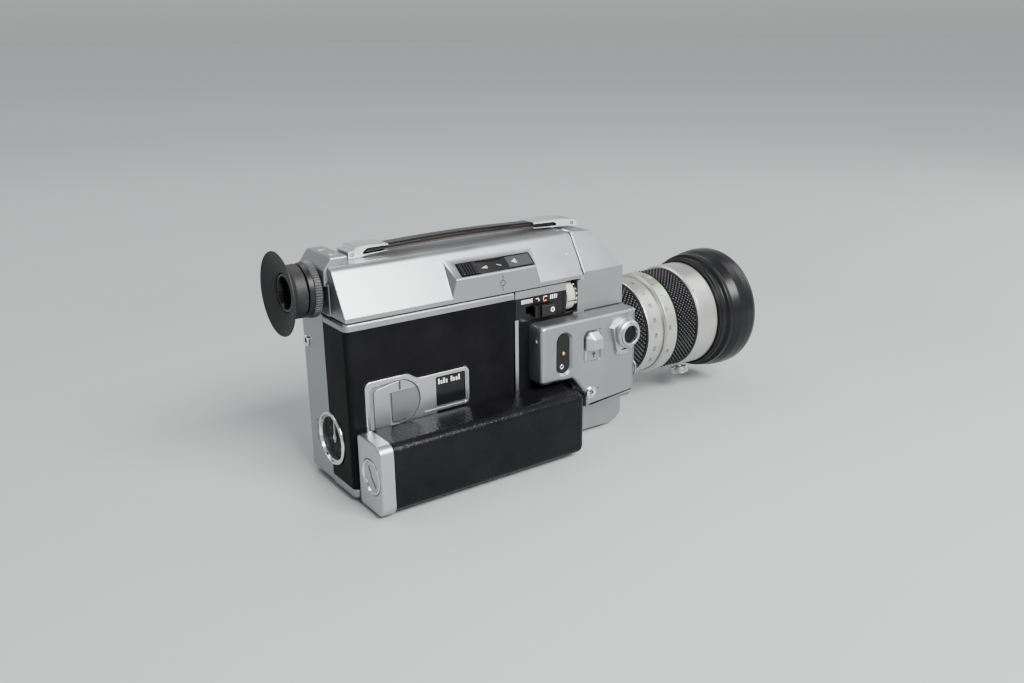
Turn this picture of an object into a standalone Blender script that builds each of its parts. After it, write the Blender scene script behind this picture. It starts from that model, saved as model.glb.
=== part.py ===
"""A hand-held cine camera for cartridge film, with a zoom lens, a reflex finder and a folding battery grip.

Sizes are in millimetres and become metres where a mesh is made. They are measured from three datums:
x from the rear face of the body towards the lens, y from the lens axis towards the camera's left side,
and z up from the surface that the base plate rests on. The root empty then moves the origin to the
middle of the base plate's underside.
"""

import math

import bmesh
import bpy
from mathutils import Euler, Matrix, Vector

MM = 0.001
GAP = 0.3
WELD = 0.00001

# Body castings
BODY_LENGTH = 168.0
HALF_WIDTH = 28.2
BOTTOM_REAR = 4.4
BOTTOM_FRONT = 2.6
SEAM_Z = 90.0
FRONT_TOP_Z = 71.7
FRONT_STEP_X = 139.9
WALL = 2.2
CASTING_LEFT_Y = 24.0
LENS_Z = 47.0
BASE_X = (38.0, 162.0)
BASE_HALF = 20.0
TRIPOD_X = 130.0
BUSH_HOLE_R = 6.8

# Left side
SPEED_AT = (150.0, 45.0)
CHECK_AT = (60.0, 78.0)
COVER_FACE_Y = HALF_WIDTH - 0.9

# Film door, on the right side and round the rear corner
DOOR_END_X = 94.5
DOOR_THICK = 3.0
DOOR_RETURN_Y = -5.0
DOOR_BOTTOM_Z = 3.0
TRIM_TOP = 4.0
TRIM_BOTTOM = 3.0
SKIN = 0.6
SKIN_INSET = 0.1
SKIN_RECESS = 1.0
DOOR_CORNER = 3.0

# Film chamber and mechanism chamber inside the casting
CHAMBER_X = (6.0, 92.0)
CHAMBER_Z = (8.0, 84.0)
CHAMBER_Y = 3.0
MID_WALL_Y = 6.0
FRONT_CHAMBER_X = (96.0, 162.0)
SPINDLE_X = 44.0
SPINDLE_R = 2.2
GATE_HALF = (2.9, 2.1)

# Top cover
DECK_Z = 114.0
DECK_HALF = 15.5
BREAK_Z = 91.5
COVER_END_X = 137.6
REAR_BLOCK_X = (-1.7, 11.0)
REAR_BLOCK_TOP = 118.0
REAR_BLOCK_HALF = 13.5
NOSE_TOP = (153.4, 112.6)
NOSE_LOW_Z = 94.6
FRONT_HOUSING_X = 140.3
FRONT_HALF_WIDTH = 27.4

# Zoom switch on the right slope: upper edge and lower edge of its tilted face
SWITCH_TOP = (58.0, 112.9, -17.8, 109.8)
SWITCH_LOW = (60.4, 107.9, -28.2, 101.5)
SWITCH_FOOT = (57.2, 111.7, -28.2, 92.0)
ROCKER_X = (64.3, 107.7)
ROCKER_S = (4.2, 11.7)
ROCKER_DEPTH = 5.0

# Finder
FINDER_Z = 101.5
FINDER_R = 9.4
FINDER_BORE = 7.5
FINDER_X = (-14.0, 60.0)

# Lens: each ring's rear edge, front edge and outer radius
BARREL_R = 24.0
BARREL_BORE = 21.0
BARREL_X = (158.0, 228.0)
RING_BORE = 24.4
ZOOM_GRIP = (170.0, 188.5, 27.8)
ZOOM_SCALE = (188.8, 200.6, 28.5)
FOCUS_SCALE = (200.9, 209.4, 30.2)
FOCUS_GRIP = (209.7, 226.3, 30.2)
FRONT_RING = (226.6, 242.3, 31.5)
FRONT_BORE = 27.2
HOOD_END_X = 270.5
RING_SIDES = 32

# Control housing on the right side
SIDE_Y = -39.1
SIDE_BACK_Y = -28.5
SIDE_X = (103.1, 168.3)
SIDE_WALL = 2.4
CONTACT_X = (113.8, 122.5)
CONTACT_Z = (44.0, 65.9)
RUN_X = (131.2, 143.0)
RUN_Z = (47.3, 64.5)
DIAL_AT = (159.6, 59.2)
DIAL_BASE_R = 8.5
DIAL_R = 7.9
SOCKET_AT = (136.7, 29.5)
TRIGGER_AT = (-34.0, 36.0)
TRIGGER_R = 4.2

# Exposure controls above that housing
PANEL_X = (97.3, 125.7)
PANEL_Z = (73.1, 85.6)
LEVER_X = (105.5, 119.0)
LEVER_Z = (75.0, 83.3)
DRUM_X = (128.0, 135.0)
DRUM_AT = (-21.2, 81.2)
DRUM_R = 8.1

# Battery grip, folded along the right side
GRIP_X = (9.5, 122.0)
GRIP_Y = (-52.2, -29.5)
GRIP_Z = (2.5, 36.8)
GRIP_CORNER = 5.0
GRIP_PIVOT = (108.5, 20.0)
PIVOT_R = 6.0
CAP_X = (2.0, 9.2)
CAP_SCREW_AT = (-42.0, 19.5)
CAP_SCREW_R = 8.9

# Handle on the deck
STRAP_X = (34.1, 124.0)
STRAP_HALF = 5.0
STRAP_Z = (115.9, 119.5)
BRACKET_HALF = 6.5

# Counter and socket on the rear face
COUNTER_AT = (-6.2, 27.0)
COUNTER_R = 13.7
REMOTE_AT = (15.7, 71.7)

# Latch on the film door
LATCH_FACE_Y = -29.4
LATCH_HINGE_X = 21.6
LATCH_DISC = (26.0, 47.5, 10.4)
WINDOW_X = (47.0, 62.5)
WINDOW_Z = (41.0, 55.0)

# Shutter drive
SHUTTER_AT = (8.0, 58.0)
SHUTTER_R = 15.5
GEAR_MODULE = 0.75
GEAR_TEETH = 24
PINION_TEETH = 8
MESH_ANGLE = math.radians(-50)
MESH_SLACK = 0.1
MOTOR_R = 7.5

AXES = {
    "+X": (0, math.pi / 2, 0),
    "-X": (0, -math.pi / 2, 0),
    "+Y": (-math.pi / 2, 0, 0),
    "-Y": (math.pi / 2, 0, 0),
    "+Z": (0, 0, 0),
    "-Z": (math.pi, 0, 0),
}

# Finish: colour, roughness, metallic
FINISHES = {
    "silver": ((0.56, 0.57, 0.58), 0.38, 0.8),
    "chrome": ((0.75, 0.75, 0.76), 0.12, 1.0),
    "steel": ((0.5, 0.5, 0.5), 0.35, 1.0),
    "leather": ((0.02, 0.02, 0.022), 0.6, 0.0),
    "black": ((0.02, 0.02, 0.02), 0.4, 0.1),
    "rubber": ((0.025, 0.025, 0.027), 0.75, 0.0),
    "cream": ((0.7, 0.69, 0.6), 0.5, 0.0),
    "brass": ((0.6, 0.45, 0.18), 0.3, 1.0),
    "glass": ((0.3, 0.35, 0.42), 0.05, 0.0),
}

parts = bpy.data.collections.new("cine_camera")
cutters = bpy.data.collections.new("cine_camera_cutters")
pivots = {}


def clear_scene():
    for obj in list(bpy.data.objects):
        bpy.data.objects.remove(obj)
    bpy.context.scene.collection.children.link(parts)
    bpy.context.scene.collection.children.link(cutters)
    cutters.hide_render = True


def pivot(name, at):
    """An empty on a joint's axis. Pieces of that moving body are parented to it."""
    empty = bpy.data.objects.new(name + "_pivot", None)
    parts.objects.link(empty)
    empty.location = Vector(at) * MM
    if "body" in pivots:
        empty.parent = pivots["body"]
    pivots[name] = empty


def make_pivots():
    pivot("body", (-sum(BASE_X) / 2, 0, 0))
    pivot("zoom", (ZOOM_GRIP[0], 0, LENS_Z))
    pivot("focus", (FOCUS_SCALE[0], 0, LENS_Z))
    pivot("dioptre", (-8.5, 0, FINDER_Z))
    pivot("rocker", rocker_centre())
    pivot("run", (sum(RUN_X) / 2, SIDE_Y, 59.1))
    pivot("dial", (DIAL_AT[0], SIDE_Y, DIAL_AT[1]))
    pivot("lever", (sum(LEVER_X) / 2, -HALF_WIDTH, sum(LEVER_Z) / 2))
    pivot("drum", (DRUM_X[0], *DRUM_AT))
    pivot("trigger", (SIDE_X[1], *TRIGGER_AT))
    pivot("latch", (16.0, LATCH_FACE_Y, LATCH_DISC[1]))
    pivot("flap", (LATCH_HINGE_X, -28.95, LATCH_DISC[1]))
    pivot("counter", (0, *COUNTER_AT))
    pivot("grip", (GRIP_PIVOT[0], GRIP_Y[1], GRIP_PIVOT[1]))
    pivot("cap_screw", (CAP_X[0], *CAP_SCREW_AT))
    pivot("speed", (SPEED_AT[0], HALF_WIDTH, SPEED_AT[1]))
    pivot("check", (CHECK_AT[0], HALF_WIDTH, CHECK_AT[1]))
    pivot("takeup", (SPINDLE_X, 0, LENS_Z))
    pivot("shutter", (98.0, *SHUTTER_AT))
    pivot("motor", (103.0, *pinion_centre()))


def own_material(name, finish):
    colour, roughness, metallic = FINISHES[finish]
    material = bpy.data.materials.new(name)
    material.use_nodes = True
    shader = material.node_tree.nodes["Principled BSDF"]
    shader.inputs["Base Color"].default_value = (*colour, 1)
    shader.inputs["Roughness"].default_value = roughness
    shader.inputs["Metallic"].default_value = metallic
    material.diffuse_color = (*colour, 1)
    return material


def part(name, obj, finish, body="body"):
    """Names obj, gives it its own material and parents it to its body's pivot, where it already lies."""
    obj.name = name
    obj.data.name = name
    obj.data.materials.clear()
    obj.data.materials.append(own_material(name, finish))
    parts.objects.link(obj)
    place(obj, body)
    if obj.type == "MESH":
        obj.data.shade_smooth()
        obj.data.set_sharp_from_angle(angle=math.radians(35))
    return obj


def place(obj, body):
    if body != "body":
        obj.location -= pivots[body].location
    obj.parent = pivots[body]


def from_bmesh(name, shape):
    bmesh.ops.recalc_face_normals(shape, faces=shape.faces)
    mesh = bpy.data.meshes.new(name)
    shape.to_mesh(mesh)
    shape.free()
    return bpy.data.objects.new(name, mesh)


def box(low, high):
    low, high = Vector(low) * MM, Vector(high) * MM
    shape = bmesh.new()
    bmesh.ops.create_cube(shape, size=1)
    for vertex in shape.verts:
        vertex.co = Vector((a * b for a, b in zip(vertex.co, high - low))) + (low + high) / 2
    return from_bmesh("box", shape)


def rod(start, axis, length, radius, sides=32, end_radius=None):
    """A cylinder or cone from start, along axis."""
    shape = bmesh.new()
    bmesh.ops.create_cone(
        shape,
        cap_ends=True,
        segments=sides,
        radius1=radius * MM,
        radius2=(radius if end_radius is None else end_radius) * MM,
        depth=length * MM,
        matrix=Matrix.Translation((0, 0, length * MM / 2)),
    )
    obj = from_bmesh("rod", shape)
    obj.location = Vector(start) * MM
    obj.rotation_euler = AXES[axis]
    return obj


def turned(start, axis, profile, sides=RING_SIDES):
    """A turned solid. The profile holds (radius, distance along axis), out over the far end, down the
    outer side and back, and it closes on itself unless it starts and ends on the axis."""
    shape = bmesh.new()
    points = [shape.verts.new((r * MM, 0, z * MM)) for r, z in profile]
    pairs = list(zip(points, points[1:]))
    if profile[0][0] > 0:
        pairs.append((points[-1], points[0]))
    for pair in pairs:
        shape.edges.new(pair)
    mesh = bpy.data.meshes.new("profile")
    shape.to_mesh(mesh)
    shape.free()
    obj = bpy.data.objects.new("turned", mesh)
    obj.location = Vector(start) * MM
    obj.rotation_euler = AXES[axis]
    screw = obj.modifiers.new("Screw", "SCREW")
    screw.axis = "Z"
    screw.angle = 2 * math.pi
    screw.steps = sides
    screw.render_steps = sides
    screw.use_merge_vertices = True
    screw.merge_threshold = WELD
    return obj


def ring(start, axis, outer, inner, length, sides=RING_SIDES):
    return turned(start, axis, [(inner, length), (outer, length), (outer, 0), (inner, 0)], sides)


def plate(outline, plane, low, high):
    """A flat outline extruded from low to high: plane XZ along y, YZ along x and XY along z."""
    curve = bpy.data.curves.new("outline", "CURVE")
    curve.dimensions = "2D"
    curve.fill_mode = "BOTH"
    curve.extrude = (high - low) / 2 * MM
    spline = curve.splines.new("POLY")
    spline.points.add(len(outline) - 1)
    for point, (a, b) in zip(spline.points, outline):
        point.co = (a * MM, b * MM, 0, 1)
    spline.use_cyclic_u = True
    obj = bpy.data.objects.new("outline", curve)
    bpy.context.scene.collection.objects.link(obj)
    middle = (high + low) / 2 * MM
    if plane == "XZ":
        obj.rotation_euler = (math.pi / 2, 0, 0)
        obj.location = (0, middle, 0)
    elif plane == "YZ":
        obj.rotation_euler = (math.pi / 2, 0, math.pi / 2)
        obj.location = (middle, 0, 0)
    else:
        obj.location = (0, 0, middle)
    return meshed(obj)


def meshed(obj):
    """The mesh of a curve, with its caps welded."""
    bpy.context.view_layer.update()
    graph = bpy.context.evaluated_depsgraph_get()
    mesh = bpy.data.meshes.new_from_object(obj.evaluated_get(graph))
    shape = bmesh.new()
    shape.from_mesh(mesh)
    bmesh.ops.remove_doubles(shape, verts=shape.verts, dist=WELD / 10)
    solid = from_bmesh("plate", shape)
    solid.rotation_euler = obj.rotation_euler
    solid.location = obj.location
    bpy.data.objects.remove(obj)
    return solid


def arc(centre, radius, start, end, steps=6):
    """Points on an arc from angle start to angle end, in degrees."""
    angles = [math.radians(start + (end - start) * i / steps) for i in range(steps + 1)]
    return [(centre[0] + radius * math.cos(a), centre[1] + radius * math.sin(a)) for a in angles]


def rounded(low, high, radius, steps=5):
    """A rectangle with round corners, anticlockwise."""
    (x0, y0), (x1, y1) = low, high
    r = radius
    return [
        *arc((x1 - r, y1 - r), r, 0, 90, steps),
        *arc((x0 + r, y1 - r), r, 90, 180, steps),
        *arc((x0 + r, y0 + r), r, 180, 270, steps),
        *arc((x1 - r, y0 + r), r, 270, 360, steps),
    ]


def bevel(obj, width, segments=2, angle=30):
    modifier = obj.modifiers.new("Bevel", "BEVEL")
    modifier.width = width * MM
    modifier.segments = segments
    modifier.limit_method = "ANGLE"
    modifier.angle_limit = math.radians(angle)
    return obj


def boolean(obj, other, operation):
    """Cuts, joins or intersects obj with other, which becomes a hidden helper in the body's frame."""
    other.name = "cutter"
    cutters.objects.link(other)
    place(other, "body")
    other.hide_render = True
    other.display_type = "WIRE"
    modifier = obj.modifiers.new(operation.title(), "BOOLEAN")
    modifier.operation = operation
    modifier.object = other
    return obj


def cut(obj, *others):
    for other in others:
        boolean(obj, other, "DIFFERENCE")
    return obj


def join(obj, *others):
    for other in others:
        boolean(obj, other, "UNION")
    return obj


# ---------------------------------------------------------------- body


def rear_left_corner():
    """The wedge that trims the rear left corner of the casting and of the left cover at 45 degrees."""
    return plate([(-1, 18), (11, 30), (-1, 30)], "XY", -1, SEAM_Z + 5)


def body_outline():
    """The side view of the casting and of the left cover. The underside falls slightly towards the front."""
    return [
        (0, BOTTOM_REAR),
        (160, BOTTOM_FRONT),
        (165, 4.2),
        (BODY_LENGTH, 7.5),
        (BODY_LENGTH, FRONT_TOP_Z),
        (FRONT_STEP_X, FRONT_TOP_Z),
        (FRONT_STEP_X, SEAM_Z - GAP),
        (0, SEAM_Z - GAP),
    ]


def main_casting():
    casting = plate(body_outline(), "XZ", -HALF_WIDTH, CASTING_LEFT_Y)
    top, bottom = CHAMBER_Z[1], CHAMBER_Z[0]
    x0, x1 = CHAMBER_X
    f0, f1 = FRONT_CHAMBER_X
    inner = -HALF_WIDTH + 3.7
    low_top = FRONT_TOP_Z - 3.7
    cut(
        casting,
        rear_left_corner(),
        box((-5, -40, -5), (DOOR_END_X + GAP, -HALF_WIDTH + DOOR_THICK + GAP, 100)),
        box((-5, -40, -5), (DOOR_THICK + GAP, DOOR_RETURN_Y + GAP, 100)),
        box((x0, -40, bottom), (x1, CHAMBER_Y, top)),
        box((x0, MID_WALL_Y, bottom), (f1, 40, low_top)),
        box((f0, inner, bottom), (f1, MID_WALL_Y + 2, low_top)),
        box((x0, MID_WALL_Y, low_top - 2), (FRONT_STEP_X - 4, 40, top + 2)),
        box((f0, inner, low_top - 2), (FRONT_STEP_X - 4, MID_WALL_Y + 2, top + 2)),
        rod((158, 0, LENS_Z), "+X", 20, BARREL_R + GAP, RING_SIDES),
        gate_opening(x1 - 2, f0 + 2),
        rod((SPINDLE_X, 0, LENS_Z), "+Y", 10, SPINDLE_R + 0.4),
        rod((GRIP_PIVOT[0], -40, GRIP_PIVOT[1]), "+Y", 18, PIVOT_R + GAP),
        rod((TRIPOD_X, 0, 0), "+Z", 12, BUSH_HOLE_R),
    )
    join(casting, rod((GAP, *COUNTER_AT), "+X", 6.2, COUNTER_R - GAP, RING_SIDES))
    cut(
        casting,
        rod((-2, *COUNTER_AT), "+X", 5.2, 11.0, RING_SIDES),
        rod((-2, *REMOTE_AT), "+X", 10, 2.6),
        box((DRUM_X[0] - 0.5, -40, 72.6), (DRUM_X[1] + 0.5, -12, 95)),
        box((PANEL_X[0] - GAP, -40, PANEL_Z[0] - GAP), (PANEL_X[1] + GAP, -27.2, PANEL_Z[1] + GAP)),
        box((100.5, -40, 76.0), (119.5, -24, 81.4)),
    )
    part("main_casting", casting, "silver")


def gate_opening(x0, x1):
    """The picture aperture, on the lens axis."""
    wide, high = GATE_HALF
    return box((x0, -wide, LENS_Z - high), (x1, wide, LENS_Z + high))


def base_plate():
    fall = (BOTTOM_REAR - BOTTOM_FRONT) / 160
    (x0, x1), half = BASE_X, BASE_HALF
    top = [BOTTOM_REAR - fall * x - GAP for x in (x0, x1)]
    plate_under = plate([(x0, 0), (x1, 0), (x1, top[1]), (x0, top[0])], "XZ", -half, half)
    cut(plate_under, rod((TRIPOD_X, 0, -2), "+Z", 10, BUSH_HOLE_R))
    part("base_plate", plate_under, "rubber")
    bush = ring((TRIPOD_X, 0, 0.3), "+Z", 6.5, 3.1, 7.2, 20)
    part("tripod_bush", bush, "steel")


def left_side():
    cover = plate(body_outline(), "XZ", CASTING_LEFT_Y + GAP, COVER_FACE_Y)
    check_x, check_z = CHECK_AT
    speed_x, speed_z = SPEED_AT
    cut(
        cover,
        rear_left_corner(),
        rod((check_x, 20, check_z), "+Y", 12, 3.6),
        rod((speed_x, 20, speed_z), "+Y", 12, 3.0),
    )
    part("left_cover", cover, "silver")
    skin = plate(rounded((12, 9), (134, 86), 4), "XZ", HALF_WIDTH - SKIN, HALF_WIDTH)
    cut(skin, rod((check_x, 20, check_z), "+Y", 12, 5.6))
    part("left_leatherette", skin, "leather")
    button = turned((check_x, 26.0, check_z), "+Y", [(0, 4.4), (3.3, 4.0), (3.3, 0), (0, 0)], 18)
    part("battery_check_button", button, "silver", "check")
    dial_profile = [(0, 5.0), (9.6, 5.0), (11.0, 3.6), (11.0, 0.3), (2.7, 0.3), (2.7, -3.0), (0, -3.0)]
    dial = turned((speed_x, COVER_FACE_Y + GAP, speed_z), "+Y", dial_profile, 24)
    part("speed_dial", dial, "silver", "speed")


# ---------------------------------------------------------------- film door


def door_outline(outer_inset, inner_inset):
    """An L seen from above: the side panel and its return round the rear corner."""
    out_y = -HALF_WIDTH + outer_inset
    in_y = -HALF_WIDTH + inner_inset
    radius = max(DOOR_CORNER - outer_inset, 0.5)
    inner_radius = max(DOOR_CORNER - inner_inset, 0.3)
    corner = arc((outer_inset + radius, out_y + radius), radius, 180, 270, 5)
    inner = arc((inner_inset + inner_radius, in_y + inner_radius), inner_radius, 270, 180, 5)
    return [
        (outer_inset, DOOR_RETURN_Y),
        *corner,
        (DOOR_END_X, out_y),
        (DOOR_END_X, in_y),
        *inner,
        (inner_inset, DOOR_RETURN_Y),
    ]


def around_counter():
    return rod((-5, *COUNTER_AT), "+X", 12, COUNTER_R + GAP, RING_SIDES)


def film_door():
    low, high = DOOR_BOTTOM_Z, SEAM_Z - GAP
    door = plate(door_outline(0, DOOR_THICK), "XY", low, high)
    skin_z = (BOTTOM_REAR + TRIM_BOTTOM, SEAM_Z - TRIM_TOP)
    recess = plate(door_outline(-5, SKIN_RECESS), "XY", skin_z[0] - GAP, skin_z[1] + GAP)
    latch_back = plate(rounded((8.5, 31), (64.5, 59.5), 2), "XZ", -40, -27.0)
    window = box((49, -40, 43), (60.5, -20, 53))
    part("film_door", cut(door, recess, around_counter(), latch_back, window), "silver")
    skin = plate(door_outline(SKIN_INSET, SKIN_INSET + SKIN), "XY", *skin_z)
    opening = plate(latch_outline(GAP), "XZ", -40, -20)
    cut(skin, around_counter(), opening, box((DOOR_END_X - 0.4, -40, 0), (DOOR_END_X + 5, 0, 100)))
    part("door_leatherette", skin, "leather")
    strip = bevel(box((93.9, -29.2, 34), (96.1, -28.5, 75)), 0.25)
    part("door_hinge_strip", strip, "chrome")


def latch_outline(grow=0.0):
    """The latch plate: a tall left half with a round shoulder, and a long bar with the window."""
    left, right = 7.7 - grow, 65.4 + grow
    top, bar_top = 60.6 + grow, 57.2 + grow
    bar_bottom, foot = 37.3 - grow, 30.0 - grow
    return [
        (left, foot),
        (46.4 + grow, foot),
        (46.4 + grow, bar_bottom),
        *arc((right - 2.6, bar_bottom + 2.6), 2.6, 270, 360, 4),
        *arc((right - 2.6, bar_top - 2.6), 2.6, 0, 90, 4),
        (37.0, bar_top),
        (33.0, bar_top + 0.9),
        (30.0, top - 0.7),
        (26.5, top),
        *arc((left + 2.6, top - 2.6), 2.6, 90, 180, 4),
    ]


def door_latch():
    frame = plate(latch_outline(), "XZ", LATCH_FACE_Y, -27.4)
    x, z, r = LATCH_DISC
    pocket_r = r + 0.5
    pocket = [
        (9.6, 37.0),
        (x, 37.0),
        *arc((x, z), pocket_r, -90, 90, 10),
        (11.0, z + pocket_r),
        (9.6, z + pocket_r - 1.4),
    ]
    skirt = box((-20, -12, -40), (80, 0, 0))
    skirt.location = Vector((0, LATCH_FACE_Y, 36.4)) * MM
    skirt.rotation_euler = Euler((math.radians(-14), 0, 0))
    window = plate(rounded((WINDOW_X[0], WINDOW_Z[0]), (WINDOW_X[1], WINDOW_Z[1]), 0.6, 2), "XZ", -40, -20)
    cut(frame, plate(pocket, "XZ", -40, -28.3), skirt, window)
    part("latch_frame", frame, "silver")
    slide = plate(rounded((12.2, 37.4), (LATCH_HINGE_X - 0.5, 56.8), 1.0, 3), "XZ", -29.3, -28.6)
    part("latch_slide", slide, "silver", "latch")
    half_disc = arc((x, z), r, -90, 90, 16)
    flap = plate([(LATCH_HINGE_X, z - r), *half_disc, (LATCH_HINGE_X, z + r)], "XZ", -29.3, -28.6)
    part("latch_flap", flap, "silver", "flap")
    (x0, x1), (z0, z1) = WINDOW_X, WINDOW_Z
    pane = box((x0 + GAP, -28.9, z0 + GAP), (x1 - GAP, -27.6, z1 - GAP))
    part("film_window", pane, "glass")


# ---------------------------------------------------------------- top


def cover_section(inset=0.0, half=HALF_WIDTH, low=SEAM_Z + GAP):
    """The section across the top cover: upright lip, slope and flat deck."""
    out, deck = half - inset, DECK_HALF - inset * 0.6
    top = DECK_Z - inset
    side = BREAK_Z - inset * 0.6
    return [(-out, low), (out, low), (out, side), (deck, top), (-deck, top), (-out, side)]


def hull(points):
    shape = bmesh.new()
    verts = [shape.verts.new(Vector(p) * MM) for p in points]
    bmesh.ops.convex_hull(shape, input=verts)
    return from_bmesh("hull", shape)


def switch_bump():
    """The raised housing of the zoom switch, carried a little below the slope so that it joins the cover."""
    points = []
    for x0, x1, y, z in (SWITCH_TOP, SWITCH_LOW, SWITCH_FOOT):
        points += [(x0, y, z), (x1, y, z)]
    points += [(SWITCH_FOOT[0] + 1, -25.6, 92.4), (SWITCH_FOOT[1] - 1, -25.6, 92.4)]
    points += [(SWITCH_TOP[0] + 1, -16.6, 108.6), (SWITCH_TOP[1] - 1, -16.6, 108.6)]
    return hull(points)


def switch_tilt():
    return math.atan2(SWITCH_TOP[3] - SWITCH_LOW[3], SWITCH_TOP[2] - SWITCH_LOW[2])


def rocker_centre():
    """The middle of the rocker on the face of its housing."""
    down = sum(ROCKER_S) / 2
    y = SWITCH_TOP[2] - down * math.cos(switch_tilt())
    z = SWITCH_TOP[3] - down * math.sin(switch_tilt())
    return (sum(ROCKER_X) / 2, y, z)


def on_switch(obj):
    """Puts a shape that was made round the origin onto the tilted face, at the rocker's centre."""
    obj.rotation_euler = Euler((switch_tilt(), 0, 0))
    obj.location = Vector(rocker_centre()) * MM
    return obj


def top_cover():
    cover = plate(cover_section(), "YZ", 0.5, COVER_END_X)
    lip = plate(cover_section(1.2), "YZ", COVER_END_X - 5, FRONT_STEP_X)
    cavity = plate(cover_section(WALL, low=SEAM_Z - 5), "YZ", 2.7, FRONT_STEP_X - 2)
    half_x = (ROCKER_X[1] - ROCKER_X[0]) / 2 + GAP
    half_s = (ROCKER_S[1] - ROCKER_S[0]) / 2 + GAP
    window = on_switch(box((-half_x, -half_s, -12), (half_x, half_s, 8)))
    join(cover, switch_bump(), lip)
    cut(
        cover,
        cavity,
        window,
        box((-5, -REAR_BLOCK_HALF - GAP, 80), (REAR_BLOCK_X[1] + GAP, REAR_BLOCK_HALF + GAP, 130)),
        box((DRUM_X[0] - 0.5, -40, 80), (DRUM_X[1] + 0.5, -12, 90.6)),
    )
    part("top_cover", cover, "silver")
    rocker = box((-half_x + GAP, -half_s + GAP, -ROCKER_DEPTH), (half_x - GAP, half_s - GAP, 0.2))
    grooves = [box((x - 0.4, -9, -0.5), (x + 0.4, 9, 2)) for x in (-16.5, -14.5)]
    for groove in grooves:
        on_switch(groove)
    on_switch(rocker)
    part("zoom_rocker", cut(rocker, *grooves), "black", "rocker")


def rear_block():
    x0, x1 = REAR_BLOCK_X
    half = REAR_BLOCK_HALF
    outline = [
        (x0, 104.8),
        (x0, 112.3),
        (2.5, REAR_BLOCK_TOP),
        (x1, REAR_BLOCK_TOP),
        (x1, SEAM_Z + GAP),
        (0.2, SEAM_Z + GAP),
        (0.2, 104.8),
    ]
    block = bevel(plate(outline, "XZ", -half, half), 0.6, 1, 40)
    cut(
        block,
        rod((-10, 0, FINDER_Z), "+X", 40, FINDER_R + GAP, RING_SIDES),
        rod((7.0, 6.6, REAR_BLOCK_TOP - 3), "+Z", 8, 1.5, 20),
        rod((7.0, -6.6, REAR_BLOCK_TOP - 3), "+Z", 8, 1.5, 20),
    )
    part("finder_rear_block", block, "silver")
    for side, y in (("left", 6.6), ("right", -6.6)):
        head = [(0, 3.3), (2.3, 3.1), (2.3, 2.5), (1.2, 2.5), (1.2, 0), (0, 0)]
        screw = turned((7.0, y, REAR_BLOCK_TOP + GAP - 2.5), "+Z", head, 14)
        part("top_screw_" + side, screw, "steel")


def front_housing():
    side = [
        (FRONT_HOUSING_X, FRONT_TOP_Z + GAP),
        (BODY_LENGTH, FRONT_TOP_Z + GAP),
        (BODY_LENGTH, NOSE_LOW_Z),
        NOSE_TOP,
        (FRONT_HOUSING_X, 113.4),
    ]
    housing = plate(side, "XZ", -40, 40)
    section = cover_section(half=FRONT_HALF_WIDTH, low=60)
    boolean(housing, plate(section, "YZ", 120, 180), "INTERSECT")
    inner_side = [(143, 60), (165.6, 60), (165.6, NOSE_LOW_Z - 1), (NOSE_TOP[0] - 1.6, 110.2), (143, 110.6)]
    cavity = plate(inner_side, "XZ", -24.5, 24.5)
    inner_section = cover_section(WALL, half=FRONT_HALF_WIDTH, low=50)
    boolean(cavity, plate(inner_section, "YZ", 100, 200), "INTERSECT")
    part("front_housing", cut(housing, cavity), "silver")


# ---------------------------------------------------------------- finder and handle


def finder():
    x0, x1 = FINDER_X
    at = (x0, 0, FINDER_Z)
    part("finder_tube", ring(at, "+X", FINDER_R, FINDER_BORE, x1 - x0, 24), "black")
    dioptre = ring((-8.5, 0, FINDER_Z), "+X", 13.5, FINDER_R + 0.4, 6.3)
    part("dioptre_ring", dioptre, "black", "dioptre")
    cup = [
        (9.8, 10.6),
        (13.0, 10.6),
        (12.4, 5.0),
        (20.0, 0.8),
        (19.6, 0.0),
        (9.0, 3.4),
        (7.8, 5.2),
        (9.8, 5.2),
    ]
    part("eyecup", turned((-19.5, 0, FINDER_Z), "+X", cup), "rubber")
    lens = [(0, 3.4), (7.0, 2.2), (7.0, 1.0), (0, 0)]
    part("eyepiece_lens", turned((-12.0, 0, FINDER_Z), "+X", lens, 20), "glass")


def handle():
    low, high = STRAP_Z
    x0, x1 = STRAP_X
    middle = (x0 + x1) / 2
    outline = [
        (x0, low),
        (middle, low + 0.4),
        (x1, low),
        (x1, high - 0.8),
        (middle, high + 0.4),
        (x0, high - 0.8),
    ]
    strap = bevel(plate(outline, "XZ", -STRAP_HALF, STRAP_HALF), 0.8, 2)
    part("handle_strap", strap, "leather")
    rear = [
        (14.5, 114.3),
        (20, 114.3),
        (22, 115.2),
        (33.8, 116.0),
        (33.8, 118.4),
        (26, 119.6),
        (17, 119.4),
        (14.5, 117.6),
    ]
    bracket = plate(rear, "XZ", -BRACKET_HALF, BRACKET_HALF)
    cut(bracket, box((15.6, -10, 115.6), (17.4, 10, 117.4)))
    part("rear_strap_bracket", bevel(bracket, 0.3), "chrome")
    front = [
        (124.3, 115.6),
        (141, 114.9),
        (152, 113.8),
        (152, 116.9),
        (143, 118.2),
        (132, 118.9),
        (124.3, 118.2),
    ]
    bracket = plate(front, "XZ", -BRACKET_HALF, BRACKET_HALF)
    cut(bracket, box((148.4, -10, 114.8), (150.4, 10, 116.4)))
    part("front_strap_bracket", bevel(bracket, 0.3), "chrome")


# ---------------------------------------------------------------- lens


def lens_ring(name, extent, bore, finish, body):
    x0, x1, radius = extent
    part(name, ring((x0, 0, LENS_Z), "+X", radius, bore, x1 - x0), finish, body)


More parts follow.
